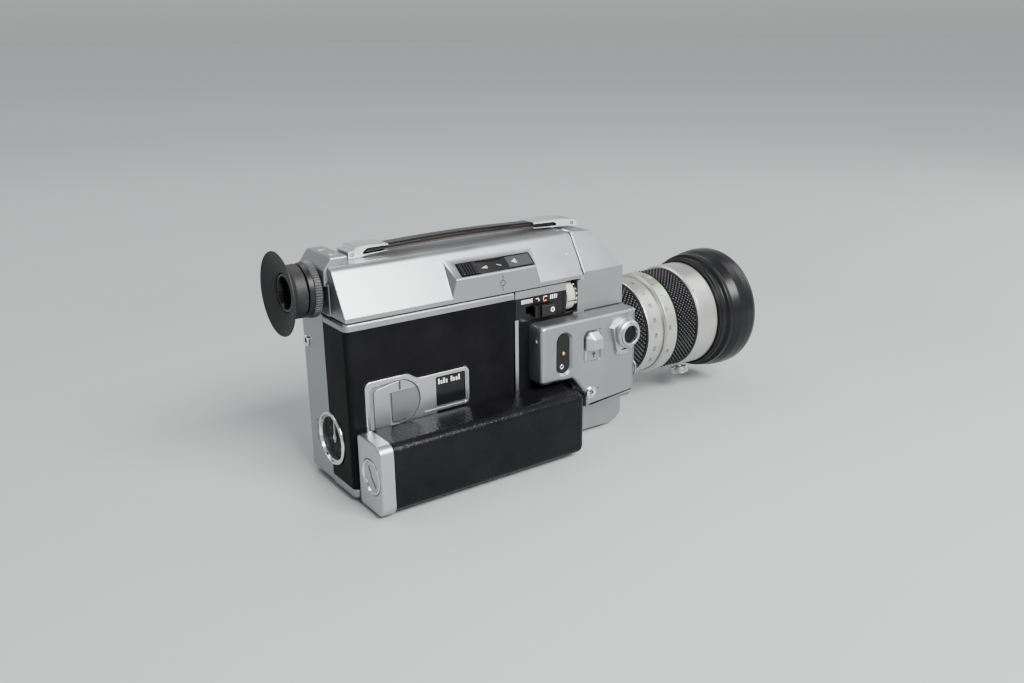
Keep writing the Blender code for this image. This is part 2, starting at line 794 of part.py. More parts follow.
def lens():
    x0, x1 = BARREL_X
    part("lens_barrel", ring((x0, 0, LENS_Z), "+X", BARREL_R, BARREL_BORE, x1 - x0), "black")
    lens_ring("zoom_grip_ring", ZOOM_GRIP, RING_BORE, "rubber", "zoom")
    lens_ring("zoom_scale_ring", ZOOM_SCALE, RING_BORE, "silver", "zoom")
    lens_ring("focus_scale_ring", FOCUS_SCALE, RING_BORE, "silver", "focus")
    lens_ring("focus_grip_ring", FOCUS_GRIP, RING_BORE, "rubber", "focus")
    lens_ring("front_ring", FRONT_RING, FRONT_BORE, "silver", "focus")
    glass = [(0, 9.0), (15, 7.4), (26.7, 3.0), (26.7, 0.8), (0, 0.8)]
    part("front_lens", turned((231.0, 0, LENS_Z), "+X", glass), "glass", "focus")
    start = FRONT_RING[1] + GAP
    length = HOOD_END_X - start
    hood = [
        (34.2, length),
        (35.6, length),
        (37.0, length - 2.0),
        (37.4, length - 7.5),
        (35.4, 9.4),
        (34.2, 8.8),
        (32.4, 0),
        (28.4, 0),
    ]
    part("lens_hood", turned((start, 0, LENS_Z), "+X", hood), "rubber", "focus")
    knob_profile = [(0, 37.2), (4.8, 37.2), (5.4, 36.4), (5.4, 33.6), (2.2, 32.6), (2.2, 31.9), (0, 31.9)]
    knob = turned((0, 0, 0), "+Z", knob_profile, 16)
    knob.rotation_euler = Euler((math.radians(165), 0, 0))
    knob.location = Vector((234.5, 0, LENS_Z)) * MM
    part("focus_knob", knob, "chrome", "focus")


# ---------------------------------------------------------------- control housing


def side_outline(inset=0.0):
    x0, x1 = SIDE_X[0] + inset, SIDE_X[1] - inset
    top = FRONT_TOP_Z - inset
    i = inset
    return [
        (x0, 40 + i),
        (124 + i * 0.45, 40 + i),
        (132.6 + i * 0.7, 30 + i * 0.2),
        (133.5 + i, 28.5),
        (133.5 + i, 20.9 + i),
        (165.3 - i, 20.9 + i),
        (x1, 24 + i * 0.5),
        (x1, top),
        (x0, top),
    ]


def side_housing():
    housing = bevel(plate(side_outline(), "XZ", SIDE_Y, SIDE_BACK_Y), 1.5, 2, 50)
    cx, cz = CONTACT_X, CONTACT_Z
    radius = (cx[1] - cx[0]) / 2
    contact = plate(rounded((cx[0], cz[0]), (cx[1], cz[1]), radius - 0.02, 6), "XZ", -50, -20)
    run_recess = plate(rounded((RUN_X[0], RUN_Z[0]), (RUN_X[1], RUN_Z[1]), 0.8, 2), "XZ", -50, SIDE_Y + 0.4)
    cut(
        housing,
        plate(side_outline(SIDE_WALL), "XZ", SIDE_Y + SIDE_WALL, -20),
        contact,
        run_recess,
        box((134.9, -50, 50.0), (139.3, -30, 62.2)),
        rod((DIAL_AT[0], -50, DIAL_AT[1]), "+Y", 25, 2.6),
        rod((SOCKET_AT[0], -50, SOCKET_AT[1]), "+Y", 25, 2.1),
        rod((160, *TRIGGER_AT), "+X", 20, TRIGGER_R + GAP),
    )
    part("side_housing", housing, "silver")
    inner = radius - GAP
    insert = plate(
        rounded((cx[0] + GAP, cz[0] + GAP), (cx[1] - GAP, cz[1] - GAP), inner - 0.02, 6), "XZ", -37.9, -37.0
    )
    part("contact_insert", insert, "black")


def run_switch():
    (x0, x1), z1 = RUN_X, RUN_Z[1]
    knob = bevel(box((x0 + 0.8, -42.8, 54.3), (x1 - 0.8, -39.0, z1 - 0.6)), 1.4, 2)
    join(knob, box((135.4, -41, 56.4), (138.8, -36.2, 61.8)))
    part("run_switch", knob, "silver", "run")


def mode_dial():
    x, z = DIAL_AT
    r = DIAL_BASE_R
    outline = [(x - r, 48.0), (x + r, 48.0), *arc((x, z), r, 0, 180, 14)]
    base = cut(plate(outline, "XZ", -40.6, SIDE_Y - GAP), rod((x, -50, z), "+Y", 20, 2.6))
    part("mode_dial_base", base, "chrome")
    profile = [
        (0, 2.6),
        (4.2, 3.2),
        (4.8, 4.4),
        (6.6, 4.4),
        (DIAL_R, 3.0),
        (DIAL_R, 0.3),
        (2.3, 0.3),
        (2.3, -4.5),
        (0, -4.5),
    ]
    part("mode_dial", turned((x, -40.6, z), "-Y", profile, 28), "chrome", "dial")


def small_controls():
    x, z = SOCKET_AT
    socket = [(1.0, 3.9), (2.7, 3.9), (2.7, 3.3), (1.8, 3.3), (1.8, 0), (1.0, 0)]
    part("release_socket", turned((x, SIDE_Y + 3.0, z), "-Y", socket, 14), "chrome")
    trigger = [(0, 7.6), (3.4, 7.6), (TRIGGER_R, 6.8), (TRIGGER_R, 0), (0, 0)]
    part("shutter_trigger", turned((163.8, *TRIGGER_AT), "+X", trigger, 20), "chrome", "trigger")
    panel = box((PANEL_X[0], -28.1, PANEL_Z[0]), (PANEL_X[1], -27.5, PANEL_Z[1]))
    part("exposure_panel", cut(panel, box((101.4, -40, 76.6), (118.6, -20, 80.8))), "black")
    lever = bevel(box((LEVER_X[0], -32.2, LEVER_Z[0]), (LEVER_X[1], -28.6, LEVER_Z[1])), 0.7)
    join(lever, box((111.6, -30, 77.2), (115.6, -26.2, 80.2)))
    part("exposure_lever", lever, "black", "lever")
    x0, x1 = DRUM_X
    part("aperture_drum", ring((x0, *DRUM_AT), "+X", DRUM_R, 2.0, x1 - x0, 28), "cream", "drum")


# ---------------------------------------------------------------- rear face


def rear_face():
    y, z = COUNTER_AT
    bezel = [(11.3, 1.3), (13.1, 1.3), (COUNTER_R, 0), (11.3, 0)]
    part("counter_bezel", turned((0.0, y, z), "-X", bezel), "chrome")
    part("counter_dial", rod((2.0, y, z), "+X", 0.9, 10.7, 28), "black")
    outline = [(y - 0.5, z - 2.5), (y + 0.5, z - 2.5), (y + 0.35, z + 8.5), (y - 0.35, z + 8.5)]
    hand = plate(outline, "YZ", 1.1, 1.6)
    part("counter_hand", hand, "cream", "counter")
    part("counter_glass", rod((-0.4, y, z), "+X", 0.8, 10.9, 28), "glass")
    socket = [(1.2, 5.0), (3.0, 5.0), (3.0, 4.3), (2.3, 4.3), (2.3, 0), (1.2, 0)]
    part("remote_socket", turned((4.0, *REMOTE_AT), "-X", socket, 14), "chrome")


# ---------------------------------------------------------------- grip


def grip():
    (x0, x1), (z0, z1) = GRIP_X, GRIP_Z
    r = GRIP_CORNER
    outline = [
        (x0, z0),
        *arc((x1 - r, z0 + r), r, 270, 360, 5),
        *arc((x1 - r, z1 - r), r, 0, 90, 5),
        (x0, z1),
    ]
    shell = bevel(plate(outline, "XZ", *GRIP_Y), 1.4, 1, 50)
    px, pz = GRIP_PIVOT
    cut(
        shell,
        box((x0 - 5, -49.8, 4.9), (114.5, -34.0, 34.4)),
        rod((px, -33.6, pz), "+Y", 10, PIVOT_R + 0.15, 32),
    )
    part("grip_shell", shell, "leather", "grip")
    pin = rod((px, -33.3, pz), "+Y", 10.6, PIVOT_R, 32)
    part("grip_pivot_pin", pin, "steel")
    y, z = CAP_SCREW_AT
    cap = plate(rounded((GRIP_Y[0] - 0.2, 1.9), (GRIP_Y[1], 37.2), 3.2, 3), "YZ", *CAP_X)
    bevel(cap, 0.9, 1, 50)
    cut(cap, rod((0, y, z), "+X", 3.4, CAP_SCREW_R + GAP, RING_SIDES), rod((0, y, z), "+X", 20, 3.3))
    part("grip_end_cap", cap, "silver", "grip")
    profile = [(0, 6.0), (3.0, 6.0), (3.0, 1.3), (CAP_SCREW_R, 1.3), (CAP_SCREW_R, 0), (0, 0)]
    screw = turned((1.7, y, z), "+X", profile)
    slot = box((0, y - 1.0, z - 8), (2.3, y + 1.0, z + 8))
    part("grip_cap_screw", cut(screw, slot), "silver", "cap_screw")


# ---------------------------------------------------------------- mechanism


def pinion_centre():
    distance = GEAR_MODULE * (GEAR_TEETH + PINION_TEETH) / 2 + MESH_SLACK
    y = SHUTTER_AT[0] + distance * math.cos(MESH_ANGLE)
    z = SHUTTER_AT[1] + distance * math.sin(MESH_ANGLE)
    return (y, z)


def gear_outline(centre, teeth, phase):
    """Straight-sided teeth, the first one centred on the angle phase."""
    pitch_r = GEAR_MODULE * teeth / 2
    steps = ((pitch_r - 1.2 * GEAR_MODULE, 0.62), (pitch_r + 0.8 * GEAR_MODULE, 0.2))
    points = []
    for tooth in range(teeth):
        angle = phase + 2 * math.pi * tooth / teeth
        for radius, half in (*steps, *reversed(steps)):
            side = -1 if len(points) % 4 < 2 else 1
            turn = angle + side * half / radius
            points.append((centre[0] + radius * math.cos(turn), centre[1] + radius * math.sin(turn)))
    return points


def mechanism():
    gate = box((89.4, -9, 36), (91.6, 2.6, 58))
    part("film_gate", cut(gate, gate_opening(80, 100)), "steel")
    spindle = [
        (0, 20.0),
        (3.6, 19.4),
        (3.6, 8.2),
        (SPINDLE_R, 8.2),
        (SPINDLE_R, 3.0),
        (9.0, 3.0),
        (9.0, 0.5),
        (0, 0.5),
    ]
    turned_spindle = turned((SPINDLE_X, 9.6, LENS_Z), "-Y", spindle, 20)
    dog = box((SPINDLE_X - 6.4, -9.5, LENS_Z - 0.8), (SPINDLE_X + 6.4, -6.0, LENS_Z + 0.8))
    part("takeup_spindle", join(turned_spindle, dog), "black", "takeup")
    y, z = SHUTTER_AT
    disc = plate([(y, z), *arc((y, z), SHUTTER_R, 90, 280, 20)], "YZ", 98.0, 98.8)
    gear = plate(gear_outline(SHUTTER_AT, GEAR_TEETH, MESH_ANGLE), "YZ", 103.0, 106.0)
    join(disc, rod((97.0, y, z), "+X", 12, 2.2, 20), gear)
    part("shutter_disc", disc, "steel", "shutter")
    centre = pinion_centre()
    half_tooth = math.pi / PINION_TEETH
    pinion = plate(gear_outline(centre, PINION_TEETH, MESH_ANGLE + math.pi + half_tooth), "YZ", 103.3, 105.7)
    join(pinion, rod((103.6, *centre), "+X", 8.1, 1.2, 16))
    part("motor_pinion", pinion, "brass", "motor")
    part("drive_motor", rod((112.0, *centre), "+X", 36, MOTOR_R, 32), "steel")


def build():
    clear_scene()
    make_pivots()
    main_casting()
    base_plate()
    left_side()
    film_door()
    door_latch()
    top_cover()
    rear_block()
    front_housing()
    finder()
    handle()
    lens()
    side_housing()
    run_switch()
    mode_dial()
    small_controls()
    rear_face()
    grip()
    mechanism()


build()
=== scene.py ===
"""The looks of the cine camera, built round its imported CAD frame.

Sizes are in millimetres from the camera's three datums: x from the rear face of the body towards the lens,
y from the lens axis towards the camera's left side, z up from the surface that the base plate rests on.
"""

import math

import bmesh
import bpy
from mathutils import Matrix, Vector


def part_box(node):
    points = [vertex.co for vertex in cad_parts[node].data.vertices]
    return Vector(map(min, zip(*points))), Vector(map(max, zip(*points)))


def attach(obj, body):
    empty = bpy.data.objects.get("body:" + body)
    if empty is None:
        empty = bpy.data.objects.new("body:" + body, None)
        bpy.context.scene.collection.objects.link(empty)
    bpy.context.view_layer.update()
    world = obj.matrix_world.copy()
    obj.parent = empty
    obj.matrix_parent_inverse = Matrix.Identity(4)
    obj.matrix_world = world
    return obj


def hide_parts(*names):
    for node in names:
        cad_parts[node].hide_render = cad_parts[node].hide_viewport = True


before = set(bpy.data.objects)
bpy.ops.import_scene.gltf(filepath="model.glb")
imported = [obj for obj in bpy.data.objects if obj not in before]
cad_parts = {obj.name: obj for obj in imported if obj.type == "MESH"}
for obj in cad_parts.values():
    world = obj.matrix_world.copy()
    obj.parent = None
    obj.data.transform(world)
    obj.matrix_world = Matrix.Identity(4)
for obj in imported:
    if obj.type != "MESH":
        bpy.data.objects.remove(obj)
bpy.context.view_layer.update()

MM = 0.001
REAR_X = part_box("main_casting")[0].x / MM
DATUM = Matrix.Translation((REAR_X * MM, 0, 0)) @ Matrix.Scale(MM, 4)
AXES = {
    "+X": Vector((1, 0, 0)),
    "-X": Vector((-1, 0, 0)),
    "+Y": Vector((0, 1, 0)),
    "-Y": Vector((0, -1, 0)),
    "+Z": Vector((0, 0, 1)),
}


def extent(node, axis):
    """A node's lowest and highest place along an axis, in datum millimetres."""
    low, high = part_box(node)
    shift = REAR_X if axis == 0 else 0
    return low[axis] / MM - shift, high[axis] / MM - shift


def middle(node, axis):
    return sum(extent(node, axis)) / 2


def ring_size(node):
    """Rear edge, front edge and outer radius of a ring on the lens axis."""
    x0, x1 = extent(node, 0)
    z0, z1 = extent(node, 2)
    return x0, x1, (z1 - z0) / 2


# Main planes, from the frame
LENS_Z = middle("lens_barrel", 2)
FINDER_Z = middle("finder_tube", 2)
RIGHT_Y = extent("film_door", 1)[0]
SEAM_Z = 90.0
DECK_Z = extent("top_cover", 2)[1]
COVER_X = (0.5, 137.6)
LIP_X = 139.9
SIDE_Y = extent("side_housing", 1)[0]
SIDE_X = extent("side_housing", 0)
DOOR_X = extent("door_leatherette", 0)[1]
SKIN_Z = extent("door_leatherette", 2)
FRONT_X = extent("front_housing", 0)
DECK_HALF = 15.5
COVER_HALF = 28.2
BREAK_Z = 92.3
GAP = 0.3
RING_BORE = 24.4

# Two places in y, outside and inside the right wall, for cutters that go through it
THROUGH = (-40, -20)

# Depths of the door latch in y: the frame's back, its pocket's floor, and the back of the two leaves in the pocket
LATCH_BACK_Y, LATCH_FLOOR_Y, LATCH_LEAF_Y = -27.4, -28.3, -28.6

# Zoom switch on the right slope: x range, y and z of the tilted face's upper edge, the same of its lower edge,
# and the x range of its foot
SWITCH_TOP = (58.0, 112.9, -17.8, 109.8)
SWITCH_LOW = (60.4, 107.9, -28.2, 101.5)
SWITCH_FOOT_X = (57.2, 111.7)
ROCKER_X = (64.3, 107.7)
ROCKER_S = (4.2, 11.7)

COUNTER_AT = (middle("counter_bezel", 1), middle("counter_bezel", 2))
COUNTER_R = 13.7
DIAL_AT = (middle("mode_dial", 0), middle("mode_dial", 2))
SOCKET_AT = (middle("release_socket", 0), middle("release_socket", 2))
REMOTE_AT = (middle("remote_socket", 1), middle("remote_socket", 2))
CAP_SCREW_AT = (middle("grip_cap_screw", 1), middle("grip_cap_screw", 2))
DRUM_AT = (middle("aperture_drum", 1), middle("aperture_drum", 2))
LATCH_DISC = (26.0, 47.5, 10.4)
LATCH_HINGE_X = extent("latch_flap", 0)[0]

# Sides of a turned piece
ROUND = 128


# ---------------------------------------------------------------- materials


def new_material(name, colour, roughness, metallic=0.0):
    material = bpy.data.materials.new(name)
    material.use_nodes = True
    shader = material.node_tree.nodes["Principled BSDF"]
    shader.inputs["Base Color"].default_value = (*colour, 1)
    shader.inputs["Roughness"].default_value = roughness
    shader.inputs["Metallic"].default_value = metallic
    material.diffuse_color = (*colour, 1)
    return material, shader


def node(material, kind, **settings):
    made = material.node_tree.nodes.new(kind)
    for key, value in settings.items():
        if key in made.inputs:
            made.inputs[key].default_value = value
        else:
            setattr(made, key, value)
    return made


def link(material, source, target):
    material.node_tree.links.new(source, target)


def coordinates(material, stretch=(1, 1, 1)):
    """Object coordinates, in metres, stretched along each axis."""
    source = node(material, "ShaderNodeTexCoord")
    mapping = node(material, "ShaderNodeMapping", Scale=stretch)
    link(material, source.outputs["Object"], mapping.inputs["Vector"])
    return mapping.outputs["Vector"]


def noise(material, vector, scale, detail=2.0, rough=0.5):
    made = node(material, "ShaderNodeTexNoise", Scale=scale, Detail=detail, Roughness=rough)
    link(material, vector, made.inputs["Vector"])
    return made.outputs["Fac"]


def cells(material, vector, scale, smooth=0.6):
    made = node(material, "ShaderNodeTexVoronoi", feature="SMOOTH_F1", Scale=scale, Smoothness=smooth)
    link(material, vector, made.inputs["Vector"])
    return made.outputs["Distance"]


def spread(material, value, low, high, source=(0.3, 0.7)):
    """Maps a value that varies round 0.5 to the range from low to high."""
    made = node(material, "ShaderNodeMapRange")
    for key, number in (("From Min", source[0]), ("From Max", source[1]), ("To Min", low), ("To Max", high)):
        made.inputs[key].default_value = number
    link(material, value, made.inputs["Value"])
    return made.outputs["Result"]


def tint(material, value, dark, light, source=(0.3, 0.7)):
    """A colour between dark and light by value."""
    ramp = node(material, "ShaderNodeValToRGB")
    ramp.color_ramp.elements[0].position = source[0]
    ramp.color_ramp.elements[0].color = (*dark, 1)
    ramp.color_ramp.elements[1].position = source[1]
    ramp.color_ramp.elements[1].color = (*light, 1)
    link(material, value, ramp.inputs["Fac"])
    return ramp.outputs["Color"]


def added(material, first, second, share=1.0):
    made = node(material, "ShaderNodeMath", operation="MULTIPLY_ADD")
    link(material, second, made.inputs[0])
    made.inputs[1].default_value = share
    link(material, first, made.inputs[2])
    return made.outputs["Value"]


def bump(material, shader, height, strength, depth):
    """Relief of the given depth in metres."""
    made = node(material, "ShaderNodeBump", Strength=strength, Distance=depth)
    link(material, height, made.inputs["Height"])
    link(material, made.outputs["Normal"], shader.inputs["Normal"])


def satin_silver():
    """Fine-blasted alloy under clear lacquer: powdery grain, faint clouds and fine scratches."""
    material, shader = new_material("satin_silver", (0.28, 0.29, 0.3), 0.33, 0.94)
    place = coordinates(material)
    clouds = noise(material, place, 45, 4)
    grain = noise(material, place, 5200, 2)
    scratches = noise(material, coordinates(material, (160, 4200, 2600)), 1, 3)
    link(material, tint(material, clouds, (0.27, 0.28, 0.288), (0.3, 0.31, 0.318)), shader.inputs["Base Color"])
    rough = added(material, spread(material, clouds, 0.3, 0.36), scratches, 0.05)
    link(material, rough, shader.inputs["Roughness"])
    bump(material, shader, added(material, grain, scratches, 0.2), 0.22, 0.00002)
    return material


def brushed(name, colour, roughness, stretch, depth=0.00002):
    """Metal brushed along one direction, which the stretch leaves short."""
    material, shader = new_material(name, colour, roughness, 1.0)
    lines = noise(material, coordinates(material, stretch), 1, 5, 0.65)
    clouds = noise(material, coordinates(material), 60, 3)
    dark = [c * 0.93 for c in colour]
    link(material, tint(material, lines, dark, colour), shader.inputs["Base Color"])
    rough = added(material, spread(material, lines, roughness - 0.05, roughness + 0.06), clouds, 0.06)
    link(material, rough, shader.inputs["Roughness"])
    bump(material, shader, lines, 0.4, depth)
    return material


def scale_silver():
    """The pale lacquered alloy of the lens rings, turned, so its fine lines run round."""
    material, shader = new_material("scale_silver", (0.48, 0.49, 0.467), 0.36, 0.9)
    lines = noise(material, coordinates(material, (5200, 30, 30)), 1, 3)
    clouds = noise(material, coordinates(material), 70, 4)
    link(material, tint(material, clouds, (0.46, 0.47, 0.447), (0.515, 0.525, 0.498)), shader.inputs["Base Color"])
    link(material, spread(material, lines, 0.31, 0.41), shader.inputs["Roughness"])
    bump(material, shader, lines, 0.25, 0.00002)
    return material


def chrome():
    material, shader = new_material("chrome", (0.78, 0.78, 0.79), 0.12, 1.0)
    clouds = noise(material, coordinates(material), 220, 4)
    scratches = noise(material, coordinates(material, (300, 2500, 3800)), 1, 3)
    link(material, spread(material, clouds, 0.08, 0.2), shader.inputs["Roughness"])
    bump(material, shader, scratches, 0.12, 0.00001)
    return material


def leather(name, colour, cell, depth, roughness, shine):
    """Pebbled leatherette: round cells of the given size in metres, broken up by finer creases."""
    material, shader = new_material(name, colour, roughness)
    place = coordinates(material)
    pebbles = cells(material, place, 1 / cell)
    creases = noise(material, place, 2.6 / cell, 3)
    clouds = noise(material, place, 55, 3)
    height = added(material, spread(material, pebbles, 1, 0, (0.05, 0.75)), creases, 0.55)
    light = [c * 1.7 for c in colour]
    link(material, tint(material, clouds, colour, light), shader.inputs["Base Color"])
    link(material, spread(material, clouds, roughness - 0.06, roughness + 0.08), shader.inputs["Roughness"])
    shader.inputs["Specular IOR Level"].default_value = shine
    bump(material, shader, height, 0.75, depth)
    return material


def rubber(name, colour, roughness):
    """Moulded rubber: matt, with a fine skin and some dust."""
    material, shader = new_material(name, colour, roughness)
    shader.inputs["Specular IOR Level"].default_value = 0.22
    place = coordinates(material)
    skin = noise(material, place, 2600, 3)
    dust = noise(material, place, 420, 6, 0.7)
    light = [c * 2.4 for c in colour]
    link(material, tint(material, dust, colour, light, (0.5, 0.9)), shader.inputs["Base Color"])
    link(material, spread(material, dust, roughness - 0.06, roughness + 0.1), shader.inputs["Roughness"])
    bump(material, shader, skin, 0.3, 0.00003)
    return material


def black_lacquer(name, roughness, colour=(0.006, 0.006, 0.0065), shine=0.3):
    """Black enamel on alloy, with faint clouds and small flecks."""
    material, shader = new_material(name, colour, roughness)
    shader.inputs["Specular IOR Level"].default_value = shine
    place = coordinates(material)
    clouds = noise(material, place, 30, 2)
    flecks = noise(material, place, 2400, 3, 0.6)
    light = [c * 1.8 for c in colour]
    link(material, tint(material, flecks, colour, light, (0.6, 0.95)), shader.inputs["Base Color"])
    link(material, spread(material, clouds, roughness - 0.015, roughness + 0.015), shader.inputs["Roughness"])
    return material


def ink(name, colour, roughness=0.5):
    """Filled engraving, printed mark or flat colour, slightly uneven; the latch pocket's painted shade uses it too."""
    material, shader = new_material(name, colour, roughness)
    patches = noise(material, coordinates(material), 1500, 3)
    dark = [c * 0.8 for c in colour]
    link(material, tint(material, patches, dark, colour), shader.inputs["Base Color"])
    return material


def glass(name, colour, coat):
    """Coated optical glass."""
    material, shader = new_material(name, colour, 0.02)
    shader.inputs["Transmission Weight"].default_value = 1.0
    shader.inputs["IOR"].default_value = 1.52
    shader.inputs["Coat Weight"].default_value = 0.6
    shader.inputs["Coat Roughness"].default_value = 0.03
    shader.inputs["Coat Tint"].default_value = (*coat, 1)
    smears = noise(material, coordinates(material), 90, 4)
    link(material, spread(material, smears, 0.01, 0.05), shader.inputs["Roughness"])
    return material


def clear_cover():
    """A thin clear window that mostly lets the dial show, with faint smears."""
    material, shader = new_material("cover_glass", (0.02, 0.02, 0.02), 0.05)
    shader.inputs["Alpha"].default_value = 0.06
    smears = noise(material, coordinates(material), 160, 4)
    link(material, spread(material, smears, 0.03, 0.1), shader.inputs["Roughness"])
    return material


SILVER = satin_silver()
BRUSHED = brushed("brushed_plate", (0.4, 0.41, 0.417), 0.34, (60, 3000, 4200))
# Painted shade: a darker copy of the brushed plate, standing in for the shade on the finger flap's tilted, dished face.
BRUSHED_PAINTED_SHADE = brushed("brushed_painted_shade", (0.26, 0.268, 0.275), 0.38, (60, 3000, 4200))
BRUSHED_END = brushed("brushed_end", (0.45, 0.46, 0.467), 0.3, (3200, 3200, 90))
SCALE = scale_silver()
CHROME = chrome()
STEEL = brushed("steel", (0.5, 0.5, 0.5), 0.3, (900, 900, 900))
DOOR_LEATHER = leather("door_leather", (0.0042, 0.0042, 0.0046), 0.00075, 0.00004, 0.34, 0.03)
GRIP_LEATHER = leather("grip_leather", (0.0035, 0.0035, 0.004), 0.0012, 0.00012, 0.24, 0.1)
STRAP_LEATHER = leather("strap_leather", (0.006, 0.0055, 0.0055), 0.0009, 0.00004, 0.3, 0.22)
RUBBER = rubber("black_rubber", (0.013, 0.013, 0.0135), 0.5)
KNURL = rubber("knurl_rubber", (0.006, 0.006, 0.0065), 0.45)
# Painted highlight: a lighter rubber for the knurl's diamond tops and the dioptre ridges, standing in for the light
# they catch.
KNURL_PAINTED_HIGHLIGHT = rubber("knurl_painted_highlight", (0.05, 0.05, 0.052), 0.4)
HOOD_BLACK = black_lacquer("hood_black", 0.28, shine=0.2)
PLASTIC = black_lacquer("black_plastic", 0.36)
FLOCK = rubber("inner_black", (0.006, 0.006, 0.006), 0.8)
GLOSS = black_lacquer("gloss_black", 0.16, (0.004, 0.004, 0.0045), 0.25)
CREAM = ink("cream", (0.42, 0.41, 0.35), 0.42)
WHITE_INK = ink("white_ink", (0.8, 0.8, 0.78))
BLACK_INK = ink("black_ink", (0.02, 0.02, 0.022))
GREEN_INK = ink("green_ink", (0.06, 0.5, 0.1))
ORANGE_INK = ink("orange_ink", (0.75, 0.12, 0.03))
GREY_KEY = black_lacquer("grey_key", 0.35, (0.03, 0.031, 0.033), 0.4)
BRASS = brushed("brass", (0.62, 0.44, 0.2), 0.3, (900, 900, 900))
LENS_GLASS = glass("lens_glass", (0.93, 0.95, 0.97), (0.75, 0.8, 1.0))
COVER_GLASS = clear_cover()
# Painted shade: dark grey for the latch pocket's floor, standing in for the shade in the groove round the lock plate.
POCKET_PAINTED_SHADE = ink("pocket_painted_shade", (0.13, 0.135, 0.14), 0.55)
DIM_INK = ink("dim_ink", (0.1, 0.1, 0.095))


# ---------------------------------------------------------------- mesh tools


def fillet(points, steps=5):
    """An outline with its corners rounded. A point may carry its own radius as a third number."""
    rounded = []
    count = len(points)
    for i, point in enumerate(points):
        here = Vector(point[:2])
        radius = point[2] if len(point) > 2 else 0
        if radius <= 0:
            rounded.append(tuple(here))
            continue
        back = (Vector(points[i - 1][:2]) - here).normalized()
        ahead = (Vector(points[(i + 1) % count][:2]) - here).normalized()
        half = back.angle(ahead) / 2
        reach = radius / math.tan(half)
        centre = here + (back + ahead).normalized() * (radius / math.sin(half))
        start = here + back * reach - centre
        end = here + ahead * reach - centre
        turn = math.atan2(start.x * end.y - start.y * end.x, start.dot(end))
        for k in range(steps + 1):
            angle = turn * k / steps
            c, s = math.cos(angle), math.sin(angle)
            rounded.append((centre.x + start.x * c - start.y * s, centre.y + start.x * s + start.y * c))
    return rounded


def arc(centre, radius, start, end, steps=12):
    angles = [math.radians(start + (end - start) * i / steps) for i in range(steps + 1)]
    return [(centre[0] + radius * math.cos(a), centre[1] + radius * math.sin(a)) for a in angles]


def rectangle(low, high, radius=0.0, steps=5):
    (x0, y0), (x1, y1) = low, high
    return fillet([(x0, y0, radius), (x1, y0, radius), (x1, y1, radius), (x0, y1, radius)], steps)


def area(outline):
    pairs = zip(outline, [*outline[1:], outline[0]])
    return sum(a[0] * b[1] - b[0] * a[1] for a, b in pairs) / 2


def inset(outline, distance):
    """The outline moved inwards, corner by corner."""
    turn = 1 if area(outline) > 0 else -1
    moved = []
    for i, point in enumerate(outline):
        here = Vector(point)
        back = (here - Vector(outline[i - 1])).normalized()
        ahead = (Vector(outline[(i + 1) % len(outline)]) - here).normalized()
        side = Vector((-back.y - ahead.y, back.x + ahead.x)) * turn
        if side.length < 1e-6:
            side = Vector((-back.y, back.x)) * turn
        side.normalize()
        lean = max(0.3, abs(side.dot(Vector((-back.y, back.x)))))
        moved.append(tuple(here + side * (distance / lean)))
    return moved


def placed(plane, a, b, t):
    if plane == "XZ":
        return Vector((a, t, b))
    if plane == "YZ":
        return Vector((t, a, b))
    return Vector((a, b, t))


def strip(shape, first, second):
    """Joins two closed loops of vertices with a band of faces."""
    for i in range(len(first)):
        j = (i + 1) % len(first)
        shape.faces.new((first[i], first[j], second[j], second[i]))


def prism(outline, plane, low, high, rim_low=0.0, rim_high=0.0, steps=3):
    """An outline swept from low to high, its rims rounded by the given radii."""
    turns = [math.pi / 2 * k / steps for k in range(steps + 1)]
    levels = [(low, 0.0)]
    if rim_low:
        levels = [(low + rim_low * (1 - math.cos(a)), rim_low * (1 - math.sin(a))) for a in turns]
    if rim_high:
        levels += [(high - rim_high * (1 - math.sin(a)), rim_high * (1 - math.cos(a))) for a in turns]
    else:
        levels.append((high, 0.0))
    shape = bmesh.new()
    loops = []
    for t, distance in levels:
        points = inset(outline, distance) if distance else outline
        loops.append([shape.verts.new(placed(plane, a, b, t)) for a, b in points])
    for first, second in zip(loops, loops[1:]):
        strip(shape, first, second)
    shape.faces.new(loops[0])
    shape.faces.new(loops[-1])
    bmesh.ops.recalc_face_normals(shape, faces=shape.faces)
    return shape


def block(low, high, rim=0.0, steps=3):
    """A box, its upright edges and both rims rounded."""
    outline = rectangle(low[:2], high[:2], rim, steps)
    return prism(outline, "XY", low[2], high[2], rim, rim, steps)


def frame_of(axis):
    along = (AXES[axis] if isinstance(axis, str) else Vector(axis)).normalized()
    across = along.orthogonal().normalized()
    if abs(along.z) < 0.9:
        across = Vector((0, 0, 1)) - along * along.z
        across.normalize()
    return along, across, along.cross(across)


